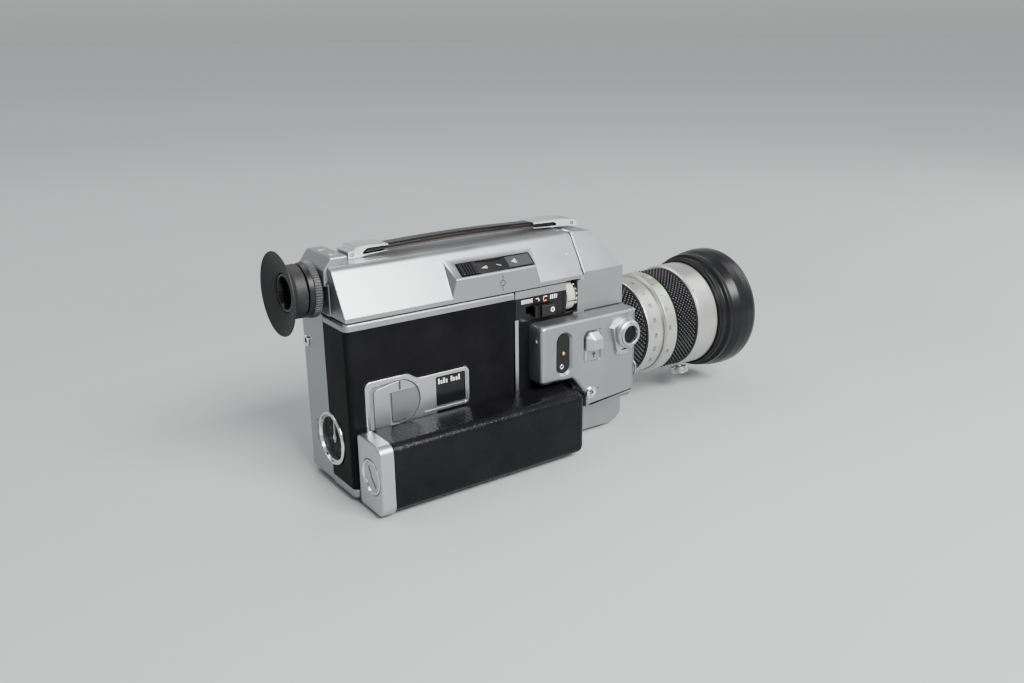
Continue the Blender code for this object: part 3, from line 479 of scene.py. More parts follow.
def lathe(profile, centre, axis="+X", sides=ROUND, flutes=None):
    """A turned solid. The profile holds (distance along axis, radius) or also a corner radius. It closes on
    itself, unless it starts and ends on the axis. flutes is (teeth, depth, least radius that is cut)."""
    along, across, third = frame_of(axis)
    centre = Vector(centre)
    points = fillet(profile, 4)
    on_axis = points[0][1] < 1e-6
    teeth, depth, least = flutes or (0, 0, 0)
    if teeth:
        sides = teeth * 4
    shape = bmesh.new()
    loops = []
    for t, r in points:
        if r < 1e-6:
            loops.append([shape.verts.new(centre + along * t)])
            continue
        loop = []
        for k in range(sides):
            angle = 2 * math.pi * k / sides
            radius = r - depth if teeth and r > least and k % 4 < 2 else r
            out = across * math.cos(angle) + third * math.sin(angle)
            loop.append(shape.verts.new(centre + along * t + out * radius))
        loops.append(loop)
    pairs = list(zip(loops, loops[1:]))
    if not on_axis:
        pairs.append((loops[-1], loops[0]))
    for first, second in pairs:
        if len(first) == 1 or len(second) == 1:
            tip, loop = (first[0], second) if len(first) == 1 else (second[0], first)
            for k in range(len(loop)):
                if len(loop) > 1:
                    shape.faces.new((tip, loop[k], loop[(k + 1) % len(loop)]))
        else:
            strip(shape, first, second)
    bmesh.ops.recalc_face_normals(shape, faces=shape.faces)
    return shape


def rod(low, high, radius, centre, axis="+X", sides=ROUND):
    """A plain cylinder between two distances along its axis."""
    return lathe([(low, 0), (low, radius), (high, radius), (high, 0)], centre, axis, sides)


def tube(low, high, bore, radius, centre, axis="+X", sides=ROUND):
    """A plain cylinder with a hole through it."""
    return lathe([(low, bore), (low, radius), (high, radius), (high, bore)], centre, axis, sides)


def knurled(x0, x1, base, height, bore, rows, columns):
    """A ring on the lens axis whose outside is cut into rows of flat-topped diamonds."""
    shape = bmesh.new()

    def point(i, j, radius):
        angle = math.pi * j / columns
        return Vector((x0 + (x1 - x0) * i / rows, radius * math.cos(angle), LENS_Z + radius * math.sin(angle)))

    corners = {(i, j): shape.verts.new(point(i, j, base))
               for i in range(rows + 1) for j in range(2 * columns) if (i + j) % 2 == 0}

    def corner(i, j):
        return corners[i, j % (2 * columns)]

    for i in range(rows + 1):
        for j in range(2 * columns):
            if (i + j) % 2 == 0:
                continue
            around = [(i - 1, j), (i, j + 1), (i + 1, j), (i, j - 1)]
            if i in (0, rows):
                inner = corner(1 if i == 0 else rows - 1, j)
                shape.faces.new((corner(i, j - 1), inner, corner(i, j + 1)))
                continue
            top = [shape.verts.new(point(i + (a - i) * 0.4, j + (b - j) * 0.4, base + height)) for a, b in around]
            foot = [corner(a, b) for a, b in around]
            # The tops take material slot 1, a lighter rubber that is painted highlight.
            shape.faces.new(top).material_index = 1
            strip(shape, foot, top)
    edge0 = [corner(0, j) for j in range(0, 2 * columns, 2)]
    start = rows % 2
    edge1 = [corner(rows, j) for j in range(start, 2 * columns, 2)]
    inner0 = [shape.verts.new(point(0, j, bore)) for j in range(0, 2 * columns, 2)]
    inner1 = [shape.verts.new(point(rows, j, bore)) for j in range(start, 2 * columns, 2)]
    strip(shape, edge0, inner0)
    strip(shape, edge1, inner1)
    strip(shape, inner0, inner1)
    bmesh.ops.recalc_face_normals(shape, faces=shape.faces)
    return shape


def hull(points):
    """The convex solid round the points."""
    shape = bmesh.new()
    made = [shape.verts.new(p) for p in points]
    bmesh.ops.convex_hull(shape, input=made)
    bmesh.ops.dissolve_limit(shape, angle_limit=0.02, verts=shape.verts, edges=shape.edges)
    bmesh.ops.recalc_face_normals(shape, faces=shape.faces)
    return shape


def temporary(shape):
    mesh = bpy.data.meshes.new("temporary")
    shape.to_mesh(mesh)
    shape.free()
    obj = bpy.data.objects.new("temporary", mesh)
    bpy.context.scene.collection.objects.link(obj)
    return obj


def evaluated(obj, *helpers):
    """The bmesh that obj's modifiers make. obj and its helpers are removed."""
    graph = bpy.context.evaluated_depsgraph_get()
    mesh = bpy.data.meshes.new_from_object(obj.evaluated_get(graph))
    shape = bmesh.new()
    shape.from_mesh(mesh)
    bpy.data.meshes.remove(mesh)
    for used in (obj, *helpers):
        bpy.data.objects.remove(used)
    return shape


def combined(shape, others, operation):
    base = temporary(shape)
    tools = [temporary(other) for other in others]
    for tool in tools:
        modifier = base.modifiers.new("Boolean", "BOOLEAN")
        modifier.operation = operation
        modifier.object = tool
    return evaluated(base, *tools)


def carved(shape, *others):
    return combined(shape, others, "DIFFERENCE")


def united(shape, *others):
    return combined(shape, others, "UNION")


def common(shape, *others):
    return combined(shape, others, "INTERSECT")


def edged(shape, width, segments=3, angle=30):
    """Rounds every edge sharper than the angle."""
    base = temporary(shape)
    modifier = base.modifiers.new("Bevel", "BEVEL")
    modifier.width = width
    modifier.segments = segments
    modifier.limit_method = "ANGLE"
    modifier.angle_limit = math.radians(angle)
    modifier.miter_outer = "MITER_ARC"
    return evaluated(base)


def moved(shape, matrix):
    bmesh.ops.transform(shape, matrix=matrix, verts=shape.verts)
    return shape


def together(*shapes):
    """Separate closed bodies kept in one mesh."""
    whole = bmesh.new()
    for shape in shapes:
        mesh = bpy.data.meshes.new("part")
        shape.to_mesh(mesh)
        shape.free()
        whole.from_mesh(mesh)
        bpy.data.meshes.remove(mesh)
    return whole


def piece(name, shape, material, body="camera_body", stands_for=(), angle=32):
    """Makes a piece of the visual model from a shape in datum millimetres."""
    moved(shape, DATUM)
    mesh = bpy.data.meshes.new(name)
    shape.to_mesh(mesh)
    shape.free()
    mesh.materials.append(material)
    mesh.shade_smooth()
    mesh.set_sharp_from_angle(angle=math.radians(angle))
    obj = bpy.data.objects.new(name, mesh)
    bpy.context.scene.collection.objects.link(obj)
    normals = obj.modifiers.new("Normals", "WEIGHTED_NORMAL")
    normals.keep_sharp = True
    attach(obj, body)
    nodes = [stands_for] if isinstance(stands_for, str) else stands_for
    if nodes:
        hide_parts(*nodes)
    return obj


def keep(name, material, width=0.3):
    """A CAD node that stays, with its flat faces made whole, its edges rounded and its own material."""
    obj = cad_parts[name]
    obj.data.materials.clear()
    obj.data.materials.append(material)
    weld = obj.modifiers.new("Weld", "WELD")
    weld.merge_threshold = 0.00001
    flat = obj.modifiers.new("Flat", "DECIMATE")
    flat.decimate_type = "DISSOLVE"
    flat.angle_limit = math.radians(1)
    if width:
        edge = obj.modifiers.new("Edge", "BEVEL")
        edge.width = width * MM
        edge.segments = 3
        edge.limit_method = "ANGLE"
        edge.angle_limit = math.radians(32)
    normals = obj.modifiers.new("Normals", "WEIGHTED_NORMAL")
    normals.keep_sharp = True


def digits(text, size, depth=0.06, bold=0.02):
    """A closed mesh of the digits, centred on the origin in the XY plane, its underside at z 0."""
    curve = bpy.data.curves.new("digits", "FONT")
    curve.body = text
    curve.size = size
    curve.align_x = "CENTER"
    curve.align_y = "CENTER"
    curve.extrude = depth / 2
    curve.offset = bold * size
    curve.resolution_u = 3
    obj = bpy.data.objects.new("digits", curve)
    bpy.context.scene.collection.objects.link(obj)
    shape = moved(evaluated(obj), Matrix.Translation((0, 0, depth / 2)))
    bmesh.ops.remove_doubles(shape, verts=shape.verts, dist=0.0005)
    if shape.calc_volume(signed=True) < 0:
        bmesh.ops.reverse_faces(shape, faces=shape.faces)
    return shape


def round_ring(shape, x, radius, degrees, centre=(0.0, None)):
    """Bends a flat mark onto a ring: its up direction points forward, and it reads round the ring."""
    cy, cz = centre[0], LENS_Z if centre[1] is None else centre[1]
    for vertex in shape.verts:
        u, v, w = vertex.co
        angle = math.radians(degrees) + u / radius
        r = radius + w
        vertex.co = Vector((x + v, cy + r * math.cos(angle), cz + r * math.sin(angle)))
    return shape


def bar(u0, v0, u1, v1, depth=0.06):
    """A small flat rectangle as a mark, its underside at z 0."""
    shape = bmesh.new()
    bmesh.ops.create_cube(shape, size=1)
    moved(shape, Matrix.Diagonal((u1 - u0, v1 - v0, depth, 1)))
    return moved(shape, Matrix.Translation(((u0 + u1) / 2, (v0 + v1) / 2, depth / 2)))


def wall(shape, x, z, y, face=-1):
    """Puts a flat mark on an upright face that looks along -Y, or +Y where face is 1."""
    for vertex in shape.verts:
        u, v, w = vertex.co
        vertex.co = Vector((x - face * u, y + face * w, z + v))
    return shape


def on_dial(shape, radius, degrees, turned=True):
    """Moves a mark out from a dial's middle. Where it is turned, its top points away from the middle."""
    angle = math.radians(degrees)
    place = Matrix.Translation((radius * math.cos(angle), radius * math.sin(angle), 0))
    if turned:
        place = place @ Matrix.Rotation(angle - math.pi / 2, 4, "Z")
    return moved(shape, place)


# ---------------------------------------------------------------- camera, light and floor


def make_camera():
    """At the photograph's viewing angle: behind the camera, to its right and a little above."""
    camera = bpy.data.objects.new("camera", bpy.data.cameras.new("camera"))
    bpy.context.scene.collection.objects.link(camera)
    camera.data.sensor_width = 36.0
    camera.data.lens = 32.87
    heading, pitch, roll = math.radians(54.689), math.radians(18.044), math.radians(-0.565)
    ahead = Vector((math.cos(pitch) * math.cos(heading), math.cos(pitch) * math.sin(heading), -math.sin(pitch)))
    right = ahead.cross(Vector((0, 0, 1))).normalized()
    up = right.cross(ahead)
    turned_right = math.cos(roll) * right + math.sin(roll) * up
    turned_up = math.cos(roll) * up - math.sin(roll) * right
    turn = Matrix((turned_right, turned_up, -ahead)).transposed()
    place = DATUM @ Vector((-170.7, -399.7, 212.5))
    camera.matrix_world = Matrix.Translation(place) @ turn.to_4x4()
    bpy.context.scene.camera = camera


def area_light(name, place, target, size, power, colour=(1, 1, 1)):
    light = bpy.data.lights.new(name, "AREA")
    light.shape = "RECTANGLE"
    light.size, light.size_y = size
    light.energy = power
    light.color = colour
    obj = bpy.data.objects.new(name, light)
    bpy.context.scene.collection.objects.link(obj)
    obj.location = place
    obj.rotation_euler = (Vector(target) - Vector(place)).to_track_quat("-Z", "Y").to_euler()


def make_studio():
    """A pale floor, painted darker near the camera and lighter far away, that runs into a soft sky, with three soft
    lights.
    """
    world = bpy.data.worlds.new("studio")
    bpy.context.scene.world = world
    world.use_nodes = True
    background = world.node_tree.nodes["Background"]
    background.inputs["Strength"].default_value = 1.0
    place = node(world, "ShaderNodeTexCoord")
    parts = node(world, "ShaderNodeSeparateXYZ")
    link(world, place.outputs["Generated"], parts.inputs["Vector"])
    sky = node(world, "ShaderNodeValToRGB")
    ramp = sky.color_ramp.elements
    ramp[0].position, ramp[0].color = 0.0, (0.4, 0.405, 0.41, 1)
    ramp[1].position, ramp[1].color = 0.65, (0.36, 0.37, 0.385, 1)
    for height, tone in ((0.03, 0.43), (0.16, 0.76)):
        ramp.new(height).color = (tone, tone * 1.013, tone * 1.03, 1)
    link(world, parts.outputs["Z"], sky.inputs["Fac"])
    link(world, sky.outputs["Color"], background.inputs["Color"])
    area_light("key", (0.1, -1.0, 0.9), (0.02, 0.0, 0.09), (0.85, 0.5), 54)
    area_light("top", (-0.2, 0.5, 1.2), (0.0, 0.0, 0.05), (1.6, 0.8), 12)
    area_light("rim", (1.1, -0.2, 0.7), (0.05, 0.0, 0.06), (0.5, 0.9), 5)
    material, shader = new_material("floor", (0.34, 0.35, 0.35), 0.6)
    place = coordinates(material)
    mottle = noise(material, place, 3, 3)
    reach = node(material, "ShaderNodeVectorMath", operation="LENGTH")
    link(material, place, reach.inputs[0])
    # Painted light: the floor's colour runs from dark near the camera to pale far away, standing in for how the light
    # falls off across it towards the sky; the mottle is random tone.
    tone = added(material, spread(material, reach.outputs["Value"], 0, 1, (0.4, 2.6)), mottle, 0.05)
    link(material, tint(material, tone, (0.32, 0.328, 0.33), (0.88, 0.89, 0.89), (0, 1)), shader.inputs["Base Color"])
    shape = bmesh.new()
    bmesh.ops.create_circle(shape, cap_ends=True, segments=96, radius=60)
    mesh = bpy.data.meshes.new("floor")
    shape.to_mesh(mesh)
    shape.free()
    mesh.materials.append(material)
    floor = bpy.data.objects.new("floor", mesh)
    bpy.context.scene.collection.objects.link(floor)


# ---------------------------------------------------------------- body


def body_castings():
    for name, width in (("main_casting", 0.5), ("left_cover", 0.7)):
        keep(name, SILVER, width)
    keep("base_plate", RUBBER, 0.5)
    keep("left_leatherette", DOOR_LEATHER, 0.2)
    keep("door_hinge_strip", BRUSHED_END, 0.25)
    keep("exposure_panel", GLOSS, 0)
    bush = lathe([(0, 3.2, 0.3), (0, 6.5, 0.4), (7.2, 6.5), (7.2, 3.2)], (middle("tripod_bush", 0), 0, 0.3), "+Z", 64)
    piece("tripod_bush_turned", bush, STEEL, stands_for="tripod_bush")
    for name in ("film_gate", "shutter_disc", "drive_motor", "grip_pivot_pin"):
        keep(name, STEEL, 0)
    keep("takeup_spindle", PLASTIC, 0)
    keep("motor_pinion", BRASS, 0)
    keep("finder_tube", PLASTIC, 0)
    keep("contact_insert", FLOCK, 0)


def door_outline(outer, inner):
    """The door seen from above: the side panel and its return round the rear corner."""
    return_y, corner = -5.0, 3.0
    out_y, in_y = RIGHT_Y + outer, RIGHT_Y + inner
    return fillet([
        (outer, return_y), (outer, out_y, max(corner - outer, 0.5)), (DOOR_X, out_y),
        (DOOR_X, in_y), (inner, in_y, max(corner - inner, 0.3)), (inner, return_y),
    ], 8)


def counter_clearance():
    return rod(0, 12, COUNTER_R + GAP, (-5, *COUNTER_AT))


def latch_outline(grow=0.0):
    """The latch plate: a tall left half with a round shoulder, and a long bar that holds the window."""
    left, right = 7.7 - grow, 65.4 + grow
    top, bar_top = 60.6 + grow, 57.2 + grow
    bar_bottom, foot = 37.3 - grow, 30.0 - grow
    return fillet([
        (left, foot), (46.4 + grow, foot), (46.4 + grow, bar_bottom), (right, bar_bottom, 2.8),
        (right, bar_top, 2.8), (35.5, bar_top, 6.0), (30.5, top, 7.0), (left, top, 3.2),
    ], 6)


def film_door():
    low, high = extent("film_door", 2)
    skin_low, skin_high = SKIN_Z
    door = prism(door_outline(1.0, 3.0), "XY", low + 0.5, high - 0.5)
    upper = prism(door_outline(0, 3.0), "XY", skin_high + 0.05, high, 0.25, 1.3, 4)
    lower = prism(door_outline(0, 3.0), "XY", low, skin_low - 0.05, 1.0, 0.25, 4)
    latch_back = prism(rectangle((8.5, 31), (64.5, 59.5), 2), "XZ", THROUGH[0], -27.0)
    window = prism(rectangle((49, 43), (60.5, 53)), "XZ", *THROUGH)
    door = carved(united(door, upper, lower), counter_clearance(), latch_back, window)
    piece("film_door_shell", door, SILVER, stands_for="film_door")
    skin = prism(door_outline(0.1, 0.7), "XY", skin_low, skin_high, 0.15, 0.15, 2)
    beyond = prism(rectangle((DOOR_X - 0.4, -40), (DOOR_X + 5, 0)), "XY", 0, 100)
    skin = carved(skin, counter_clearance(), prism(latch_outline(GAP), "XZ", *THROUGH), beyond)
    panel_x = 94.8
    side_skin = prism(rectangle((panel_x, 7.4), (132.5, 73.2)), "XZ", RIGHT_Y - 0.2, RIGHT_Y + 0.3, 0.1, 0, 2)
    piece("side_leather_skin", side_skin, DOOR_LEATHER)
    panel_outline = rectangle((panel_x, 73.3), (127.6, 85.9), 0.2)
    panel_skin = prism(panel_outline, "XZ", RIGHT_Y - 0.15, RIGHT_Y + 0.3, 0.1, 0, 2)
    (px0, px1), (pz0, pz1) = extent("exposure_panel", 0), extent("exposure_panel", 2)
    cut = block((px0 - 0.05, -40, pz0 - 0.05), (px1 + 0.05, -20, pz1 + 0.05))
    piece("panel_surround", carved(panel_skin, cut), GLOSS)
    piece("door_leather_skin", skin, DOOR_LEATHER, stands_for="door_leatherette")


def latch_pocket():
    """The recess that the lock plate and the finger flap lie in."""
    x, z, r = LATCH_DISC
    reach = r + 0.7
    return [
        (9.7, 33), (x, 33), *arc((x, z), reach, -90, 78, 24), (x - 3.0, z + reach - 0.1), (11.6, z + reach - 0.9),
        (9.7, z + reach - 2.6),
    ]


def door_latch():
    face = extent("latch_frame", 1)[0]
    x, z, r = LATCH_DISC
    frame_plate = prism(latch_outline(), "XZ", face, LATCH_BACK_Y, 0.55, 0, 4)
    tilt = Matrix.Translation((0, face, 36.6)) @ Matrix.Rotation(math.radians(-14), 4, "X")
    skirt = moved(block((-20, -12, -40), (80, 0, 0)), tilt)
    pocket = prism(latch_pocket(), "XZ", THROUGH[0], LATCH_FLOOR_Y)
    bar_recess = prism(rectangle((38.0, 38.9), (63.9, 55.9), 1.4), "XZ", THROUGH[0], face + 0.3)
    window = prism(rectangle((46.0, 40.0), (63.0, 55.2), 0.8), "XZ", *THROUGH)
    frame_plate = carved(frame_plate, bar_recess, pocket, skirt, window)
    piece("latch_surround", frame_plate, BRUSHED_END, stands_for="latch_frame")
    # Painted shade: a dark grey plate on the pocket's floor stands in for the shade in the groove round the lock plate.
    under_skirt = prism(rectangle((-20, -40), (80, 36.0)), "XZ", *THROUGH)
    shade = prism(inset(latch_pocket(), 0.05), "XZ", LATCH_FLOOR_Y - 0.12, LATCH_FLOOR_Y)
    piece("latch_pocket_painted_shade", carved(shade, under_skirt), POCKET_PAINTED_SHADE)

    # The lock plate: a round disc and a tail behind it, open where the flap lies
    hinge, split = LATCH_HINGE_X, z + 5.4
    circle = arc((x, z), r, -180, 180, 96)[:-1]

    def flap_side(start, top):
        return prism(fillet([(start, 30), (60, 30), (60, top), (start, top, 0.4)]), "XZ", *THROUGH)

    disc = prism(circle, "XZ", -29.35, LATCH_LEAF_Y, 0.25, 0, 3)
    tail = fillet([
        (12.2, 30), (x, 30), (x, z + r - 0.1), (x - 3, z + r - 0.2, 4),
        (13.6, z + r - 1.9, 1.0), (12.2, z + r - 3.2, 0.6),
    ])
    tail = prism(tail, "XZ", -29.35, LATCH_LEAF_Y, 0.25, 0, 3)
    notch = block((x - 0.55, -30, z + r - 4.6), (x + 0.55, -29.05, z + r + 2))
    slide = carved(united(tail, disc), flap_side(hinge - 1.25, split), notch)
    piece("latch_lock_plate", slide, BRUSHED, "latch_lock", "latch_slide")
    index = block((x - 0.5, -29.2, z + r - 4.4), (x + 0.5, -29.0, z + r - 0.3))
    piece("latch_index", index, BLACK_INK, "latch_lock")

    # The finger flap: the rest of the disc, with a shallow dish
    flap = common(prism(circle, "XZ", -29.2, LATCH_LEAF_Y, 0.2, 0, 3), flap_side(hinge, split - 0.3))
    dish = lathe([(0, 0), (0.32, 0), (0.0, 8.2), (-3, 8.2), (-3, 0)], (x + 3.2, -29.2, z - 1), "+Y", 96)
    leaf = carved(flap, dish)
    # The flap takes the darker brushed copy: painted shade.
    piece("latch_flap_leaf", leaf, BRUSHED_PAINTED_SHADE, "latch_finger_flap", "latch_flap")
    crease = block((x - 4.2, -29.3, 37.9), (x + 1.6, -29.15, 38.2))
    dimple = block((x + 1.7, -29.35, 37.7), (x + 2.5, -29.1, 38.6))
    piece("latch_flap_marks", together(crease, dimple), BLACK_INK, "latch_finger_flap")

    pane = prism(rectangle((46.2, 40.2), (62.8, 55.0), 0.6), "XZ", -28.75, -27.6, 0.15, 0, 2)
    piece("film_window_pane", pane, GLOSS, stands_for="film_window")
    heights = (2.6, 1.7, 2.6, 1.7, 0, 2.6, 1.7, 1.7, 2.6)
    marks = [bar(1.45 * i, 0, 1.45 * i + 0.75, h) for i, h in enumerate(heights) if h]
    piece("film_window_marks", wall(together(*marks), 47.6, 51.2, -28.75), WHITE_INK)


# ---------------------------------------------------------------- top


def cover_section(less=0.0, half=COVER_HALF, low=SEAM_Z + GAP, soft=5.0):
    """Across the top cover: upright lip, slope and flat deck with soft shoulders."""
    out, deck = half - less, DECK_HALF - less * 0.6
    top, side = DECK_Z - less, BREAK_Z - less * 0.6
    return fillet([
        (-out, low), (out, low), (out, side, 1.0), (deck, top, soft), (-deck, top, soft), (-out, side, 1.0),
    ], 6)


def switch_tilt():
    return math.atan2(SWITCH_TOP[3] - SWITCH_LOW[3], SWITCH_TOP[2] - SWITCH_LOW[2])


def on_switch(shape):
    """Puts a shape that was made round the origin onto the switch's tilted face, at the rocker's centre."""
    down = sum(ROCKER_S) / 2
    tilt = switch_tilt()
    x = sum(ROCKER_X) / 2
    y, z = SWITCH_TOP[2] - down * math.cos(tilt), SWITCH_TOP[3] - down * math.sin(tilt)
    return moved(shape, Matrix.Translation((x, y, z)) @ Matrix.Rotation(tilt, 4, "X"))


def switch_bump():
    x0, x1, y, z = SWITCH_TOP
    u0, u1, v, w = SWITCH_LOW
    f0, f1 = SWITCH_FOOT_X
    inward = Vector((0, math.cos(switch_tilt()), math.sin(switch_tilt()))) * 3.2
    foot = SEAM_Z + GAP
    points = [(x0, y + inward.y, z + inward.z), (x1, y + inward.y, z + inward.z), (u0, v, w), (u1, v, w)]
    points += [(f0, v, foot), (f1, v, foot), (f0 + 1, -25.2, foot), (f1 - 1, -25.2, foot)]
    points += [(x0 + 1, -14.0, 108.0), (x1 - 1, -14.0, 108.0)]
    return edged(hull(points), 0.7, 3, 25)


def top_cover():
    x0, x1 = COVER_X
    cover = prism(cover_section(), "YZ", x0, x1, 0.7, 0.5, 4)
    lip = prism(cover_section(0.7), "YZ", x1 - 5, LIP_X, 0, 0.4, 3)
    cavity = prism(cover_section(2.4, low=80, soft=3.0), "YZ", x0 + 2.2, LIP_X - 2)
    half_x, half_s = (ROCKER_X[1] - ROCKER_X[0]) / 2 + 0.55, (ROCKER_S[1] - ROCKER_S[0]) / 2 + 0.55
    window = on_switch(prism(rectangle((-half_x, -half_s), (half_x, half_s), 0.6), "XY", -12, 8))
    drum_x = extent("aperture_drum", 0)
    drum_gap = block((drum_x[0] - 0.5, -40, 80), (drum_x[1] + 0.5, -12, 90.6))
    rear = block((-5, -13.8, 80), (11.3, 13.8, 130))
    cover = carved(united(cover, switch_bump(), lip), cavity, window, drum_gap, rear)
    piece("top_cover_shell", cover, SILVER, stands_for="top_cover", angle=25)
    trim = prism(rectangle((x1 - 0.05, RIGHT_Y + 0.15), (LIP_X + 0.15, RIGHT_Y + 2.0), 0.3), "XY", 71.9, SEAM_Z + 2)
    piece("side_trim_strip", trim, BRUSHED_END)
    slope = Vector((0, -(DECK_Z - BREAK_Z), COVER_HALF - DECK_HALF)).normalized()
    pin = lathe([(-1, 0), (-1, 1.2), (0.2, 1.2, 0.3), (0.75, 0.5, 0.4), (0.8, 0)], (132.6, -21.6, 103.1), slope, 32)
    piece("cover_pin", pin, CHROME)


def zoom_rocker():
    """A ribbed key at the rear, a hollow middle and a flat grey key at the front, all on one rocking bar."""
    half_x, half_s = (ROCKER_X[1] - ROCKER_X[0]) / 2, (ROCKER_S[1] - ROCKER_S[0]) / 2
    profile = [(-half_x, -4.8), (half_x, -4.8), (half_x, 0.2, 0.3), (half_x - 15.5, 0.1, 1.5)]
    profile += [(u, -1.5 + 0.0085 * (u - 0.5) ** 2) for u in (4, 1, -2, -5, -8, -10.5)]
    profile += [(-12.2, 0.7, 0.5), (-half_x + 0.7, 0.9, 0.8), (-half_x, -0.4, 0.3)]
    bar_shape = prism(fillet(profile), "XZ", -half_s + 0.05, half_s - 0.05, 0.25, 0.25, 3)
    grooves = [block((u - 0.35, -9, 0.25), (u + 0.35, 9, 3)) for u in (-19.2, -17.6, -16.0, -14.4)]
    rocker = on_switch(carved(bar_shape, *grooves))
    piece("zoom_rocker_bar", rocker, PLASTIC, "zoom_rocker_key", "zoom_rocker")
    key = prism(rectangle((6.6, -half_s + 0.5), (half_x - 0.5, half_s - 0.5), 0.5), "XY", -0.6, 0.42, 0, 0.2, 3)
    piece("zoom_rocker_pad", on_switch(key), GREY_KEY, "zoom_rocker_key")
    narrow = prism([(-8.4, -0.2), (-5.2, -1.0), (-5.2, 0.6)], "XY", -1.05, -0.55)
    wide = prism([(9.0, -0.1), (12.0, -1.6), (12.0, 1.4)], "XY", 0.3, 0.5)
    line = prism([(1.2, 0.7), (3.6, -0.5), (3.6, -0.2), (1.2, 1.0)], "XY", -1.45, -1.05)
    piece("zoom_rocker_marks", on_switch(together(narrow, wide, line)), CREAM, "zoom_rocker_key")
    ring_mark = tube(0, 0.06, 1.15, 1.6, (87.3, RIGHT_Y, 95.9), "-Y", 48)
    upright = [bar(-0.22, v, 0.22, v + 2.6) for v in (1.6, -4.2)]
    uprights = wall(together(*upright), 87.3, 95.9, RIGHT_Y)
    piece("film_plane_mark", together(ring_mark, uprights), BLACK_INK)


def slotted_head(centre, axis, radius, turn):
    """A countersunk screw's head with its slot, turned by some degrees."""
    height = 0.8
    head = lathe([
        (-1.2, 0), (-1.2, radius * 0.6), (0, radius, 0.1), (height * 0.5, radius * 0.75, 0.8), (height * 0.6, 0),
    ], (0, 0, 0), "+Z", 48)
    slot = block((-radius - 1, -0.28, -0.25), (radius + 1, 0.28, 3))
    slot = moved(slot, Matrix.Rotation(math.radians(turn), 4, "Z"))
    head = carved(head, slot)
    turned = Vector((0, 0, 1)).rotation_difference(AXES[axis]).to_matrix().to_4x4()
    return moved(head, Matrix.Translation(centre) @ turned)


def rear_block():
    (x0, x1), (y0, y1) = extent("finder_rear_block", 0), extent("finder_rear_block", 1)
    top = extent("finder_rear_block", 2)[1]
    low, step = SEAM_Z + GAP, 104.8
    outline = fillet([
        (x0, step, 0.4), (x0, 112.3, 1.6), (2.5, top, 1.6), (x1, top, 0.8), (x1, low), (0.2, low), (0.2, step, 0.4),
    ])[::-1]
    body = prism(outline, "XZ", y0, y1, 1.0, 1.0, 4)
    bore = rod(0, 40, 9.7, (-10, 0, FINDER_Z))
    screw_x, screw_y = 7.0, 6.6
    sink = [(-2.5, 0), (-2.5, 1.5), (-1.4, 1.6), (0.01, 3.1), (3, 3.1), (3, 0)]
    sinks = [lathe(sink, (screw_x, y, top), "+Z", 48) for y in (screw_y, -screw_y)]
    body = carved(body, bore, *sinks)
    piece("finder_block", body, SILVER, stands_for="finder_rear_block")
    for side, y, turn in (("left", screw_y, 25), ("right", -screw_y, 70)):
        head = slotted_head((screw_x, y, top - 0.25), "+Z", 2.9, turn)
        piece("block_screw_" + side, head, STEEL, stands_for="top_screw_" + side)


def front_housing():
    x0, x1 = FRONT_X
    half, low = 27.4, 72.0
    edge_z, top_z = 93.1, 113.4
    nose_x, nose_z, nose_low = 153.4, 112.6, 94.6
    deck = DECK_HALF - 0.4
    slope = (DECK_Z - BREAK_Z) / (COVER_HALF - DECK_HALF)

    def half_width(z):
        return min(half, deck + (nose_z + 0.8 - z) / slope)

    points = []
    for side in (-1, 1):
        points += [(x0, side * half, low), (x0, side * half, edge_z), (x0, side * half_width(top_z), top_z)]
        points += [(nose_x, side * half_width(nose_z), nose_z), (x1, side * half_width(nose_low), nose_low)]
        points += [(x1, side * half, edge_z), (x1, side * half, low)]
    shell = edged(hull(points), 1.3, 5, 12)
    piece("front_housing_shell", shell, SILVER, stands_for="front_housing", angle=25)


# ---------------------------------------------------------------- finder and handle


def finder():
    centre = (0, 0, FINDER_Z)
    cup = lathe([
        (-19.5, 19.7, 0.3), (-18.6, 20.0, 0.35), (-15.6, 14.0, 2.0), (-14.4, 12.6, 1.0), (-9.0, 12.9, 0.5), (-8.9, 9.8),
        (-14.3, 9.8), (-14.3, 9.25), (-16.0, 9.4, 0.6), (-16.9, 12.0, 3.0), (-19.1, 19.1, 0.3),
    ], centre)
    piece("eyecup_rubber", cup, RUBBER, stands_for="eyecup")
    holder = lathe([(-15.6, 7.9, 0.3), (-15.6, 9.15, 0.4), (-9.4, 9.15), (-9.4, 6.6), (-12.4, 6.6)], centre)
    piece("eyepiece_holder", holder, GLOSS)
    lens = lathe([(-8.7, 0), (-8.9, 6.5), (-10.6, 6.5), (-11.4, 4.2), (-11.8, 0)], centre, sides=64)
    piece("eyepiece_glass", lens, LENS_GLASS, stands_for="eyepiece_lens")
    behind = rod(-7.6, -7.0, 7.3, centre, sides=64)
    piece("finder_screen", behind, FLOCK)
    smooth = lathe([(-8.4, 9.9), (-8.4, 12.6, 0.5), (-5.9, 13.3, 0.4), (-5.6, 12.6), (-5.6, 9.9)], centre)
    fine = lathe([
        (-5.7, 9.9), (-5.7, 13.1), (-5.2, 13.5), (-2.6, 13.5), (-2.2, 13.1), (-2.2, 9.9),
    ], centre, flutes=(66, 0.55, 13.0))
    # The fluted ring is in the lighter rubber: painted highlight on its ridges.
    piece("dioptre_knurl", fine, KNURL_PAINTED_HIGHLIGHT, "dioptre_adjuster", angle=20)
    piece("dioptre_grip", smooth, PLASTIC, "dioptre_adjuster", "dioptre_ring", angle=20)


def strap_line(x, x0, x1):
    """How far the strap is bowed up at x."""
    share = (x - x0) / (x1 - x0)
    return 0.9 * math.sin(math.pi * share)


